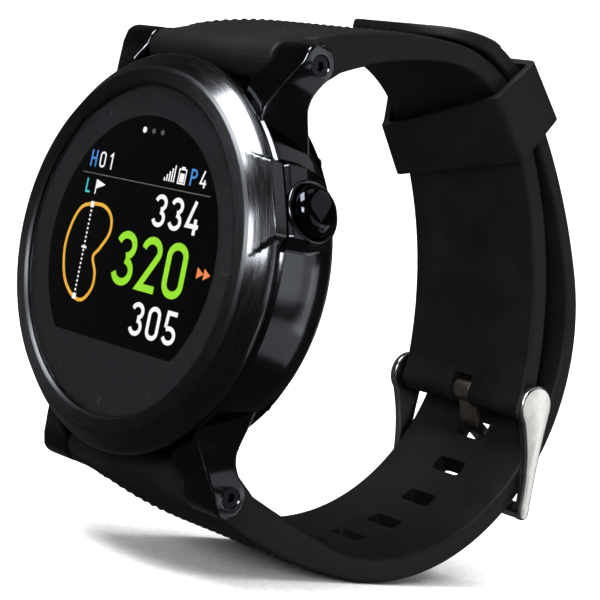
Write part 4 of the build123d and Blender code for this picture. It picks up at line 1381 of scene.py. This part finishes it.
# The camera: where it stands in metres, which ways its picture's right, top and back point, and its lens.
CAMERA_PLACE = (0.18209, -0.14955, 0.00725)
CAMERA_AXES = ((0.6485, 0.7335, 0.2034), (-0.1643, -0.126, 0.9783), (0.7433, -0.6679, 0.0388))
CAMERA_LENS = 119.34    # mm, on a sensor 36 mm wide


class WATCH_OT_stage(bpy.types.Operator):
    """Pale floor and backdrop, soft lights and the camera"""

    bl_idname = "watch.stage"
    bl_label = "Stage"

    def execute(self, context):
        low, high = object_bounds()
        floor = low.z - 0.0002
        profile = [(-1.2, floor), (0.5, floor)]
        sweep = [(0.5 + 0.5 * math.sin(math.radians(a)), floor + 0.5 * (1 - math.cos(math.radians(a))))
                 for a in range(10, 91, 10)]
        profile += sweep + [(1.0, floor + 2.0)]
        facing = -Vector(CAMERA_AXES[2][:2] + (0,)).normalized()
        side = Vector((facing.y, -facing.x, 0))
        points = [facing * d + side * s + Vector((0, 0, h)) for s in (-1.6, 1.6) for d, h in profile]
        count = len(profile)
        mesh = bpy.data.meshes.new("studio_floor")
        mesh.from_pydata(points, [], [(i, i + 1, count + i + 1, count + i) for i in range(count - 1)])
        mesh.shade_smooth()
        paper = bpy.data.objects.new("studio_floor", mesh)
        context.scene.collection.objects.link(paper)
        # Matt background paper on a roll: pale, with a very slight tooth.
        mesh.materials.append(plain("background_paper", opaque("#F4F4F3"), 0.9, 0.8, 0.02))
        paper.visible_glossy = False
        paper.visible_shadow = False
        paper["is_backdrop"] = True

        world = bpy.data.worlds.new("studio")
        context.scene.world = world
        world.use_nodes = True
        world.node_tree.nodes["Background"].inputs["Color"].default_value = (1.0, 1.0, 1.0, 1.0)
        world.node_tree.nodes["Background"].inputs["Strength"].default_value = 0.05
        centre = (low + high) / 2
        for name, aim, reach, run, sizes, glow, mirrored in LAMPS:
            data = bpy.data.lights.new(name, "AREA")
            data.shape = "RECTANGLE"
            data.size, data.size_y = sizes
            data.energy = glow * math.pi * sizes[0] * sizes[1]
            lamp = bpy.data.objects.new(name, data)
            context.scene.collection.objects.link(lamp)
            out = Vector(aim).normalized()
            along = Vector(run)
            along = (along - out * along.dot(out)).normalized()
            turn = Matrix((along, out.cross(along), out)).transposed()
            lamp.matrix_world = Matrix.Translation(centre + out * reach) @ turn.to_4x4()
            lamp.visible_glossy = mirrored

        data = bpy.data.cameras.new("camera")
        data.sensor_width = 36
        data.lens = CAMERA_LENS
        data.clip_start, data.clip_end = 0.01, 10
        camera = bpy.data.objects.new("camera", data)
        context.scene.collection.objects.link(camera)
        turn = Matrix(CAMERA_AXES).transposed()
        camera.matrix_world = Matrix.Translation(CAMERA_PLACE) @ turn.to_4x4()
        context.scene.camera = camera
        context.scene.view_settings.view_transform = "Standard"
        return {"FINISHED"}


PIECES = (WATCH_OT_frame_finish, WATCH_OT_case, WATCH_OT_lugs, WATCH_OT_bezel, WATCH_OT_glass,
          WATCH_OT_display, WATCH_OT_button, WATCH_OT_short_strap, WATCH_OT_long_strap, WATCH_OT_keeper,
          WATCH_OT_buckle, WATCH_OT_stage)
GROUPS = (WatchCaseSizes, WatchStrapSizes, WatchColours)


class WATCH_PT_panel(bpy.types.Panel):
    """Lists the watch's pieces"""

    bl_idname = "WATCH_PT_panel"
    bl_label = "Golf GPS Watch"
    bl_space_type = "VIEW_3D"
    bl_region_type = "UI"
    bl_category = "Watch"

    def draw(self, context):
        for operator in PIECES:
            self.layout.operator(operator.bl_idname)
        for group in ("watch_case", "watch_strap", "watch_colours"):
            box = self.layout.box()
            settings = getattr(context.scene, group)
            for name in settings.__annotations__:
                box.prop(settings, name)


def register():
    """Adds the watch's operators, panel and settings to Blender."""
    for cls in GROUPS + PIECES + (WATCH_PT_panel,):
        bpy.utils.register_class(cls)
    bpy.types.Scene.watch_case = PointerProperty(type=WatchCaseSizes)
    bpy.types.Scene.watch_strap = PointerProperty(type=WatchStrapSizes)
    bpy.types.Scene.watch_colours = PointerProperty(type=WatchColours)


def unregister():
    """Takes them away again."""
    del bpy.types.Scene.watch_colours
    del bpy.types.Scene.watch_strap
    del bpy.types.Scene.watch_case
    for cls in (WATCH_PT_panel,) + PIECES[::-1] + GROUPS[::-1]:
        bpy.utils.unregister_class(cls)


def main():
    """Builds the whole watch in order."""
    register()
    for operator in PIECES:
        group, name = operator.bl_idname.split(".")
        getattr(getattr(bpy.ops, group), name)()


if __name__ == "__main__":
    main()
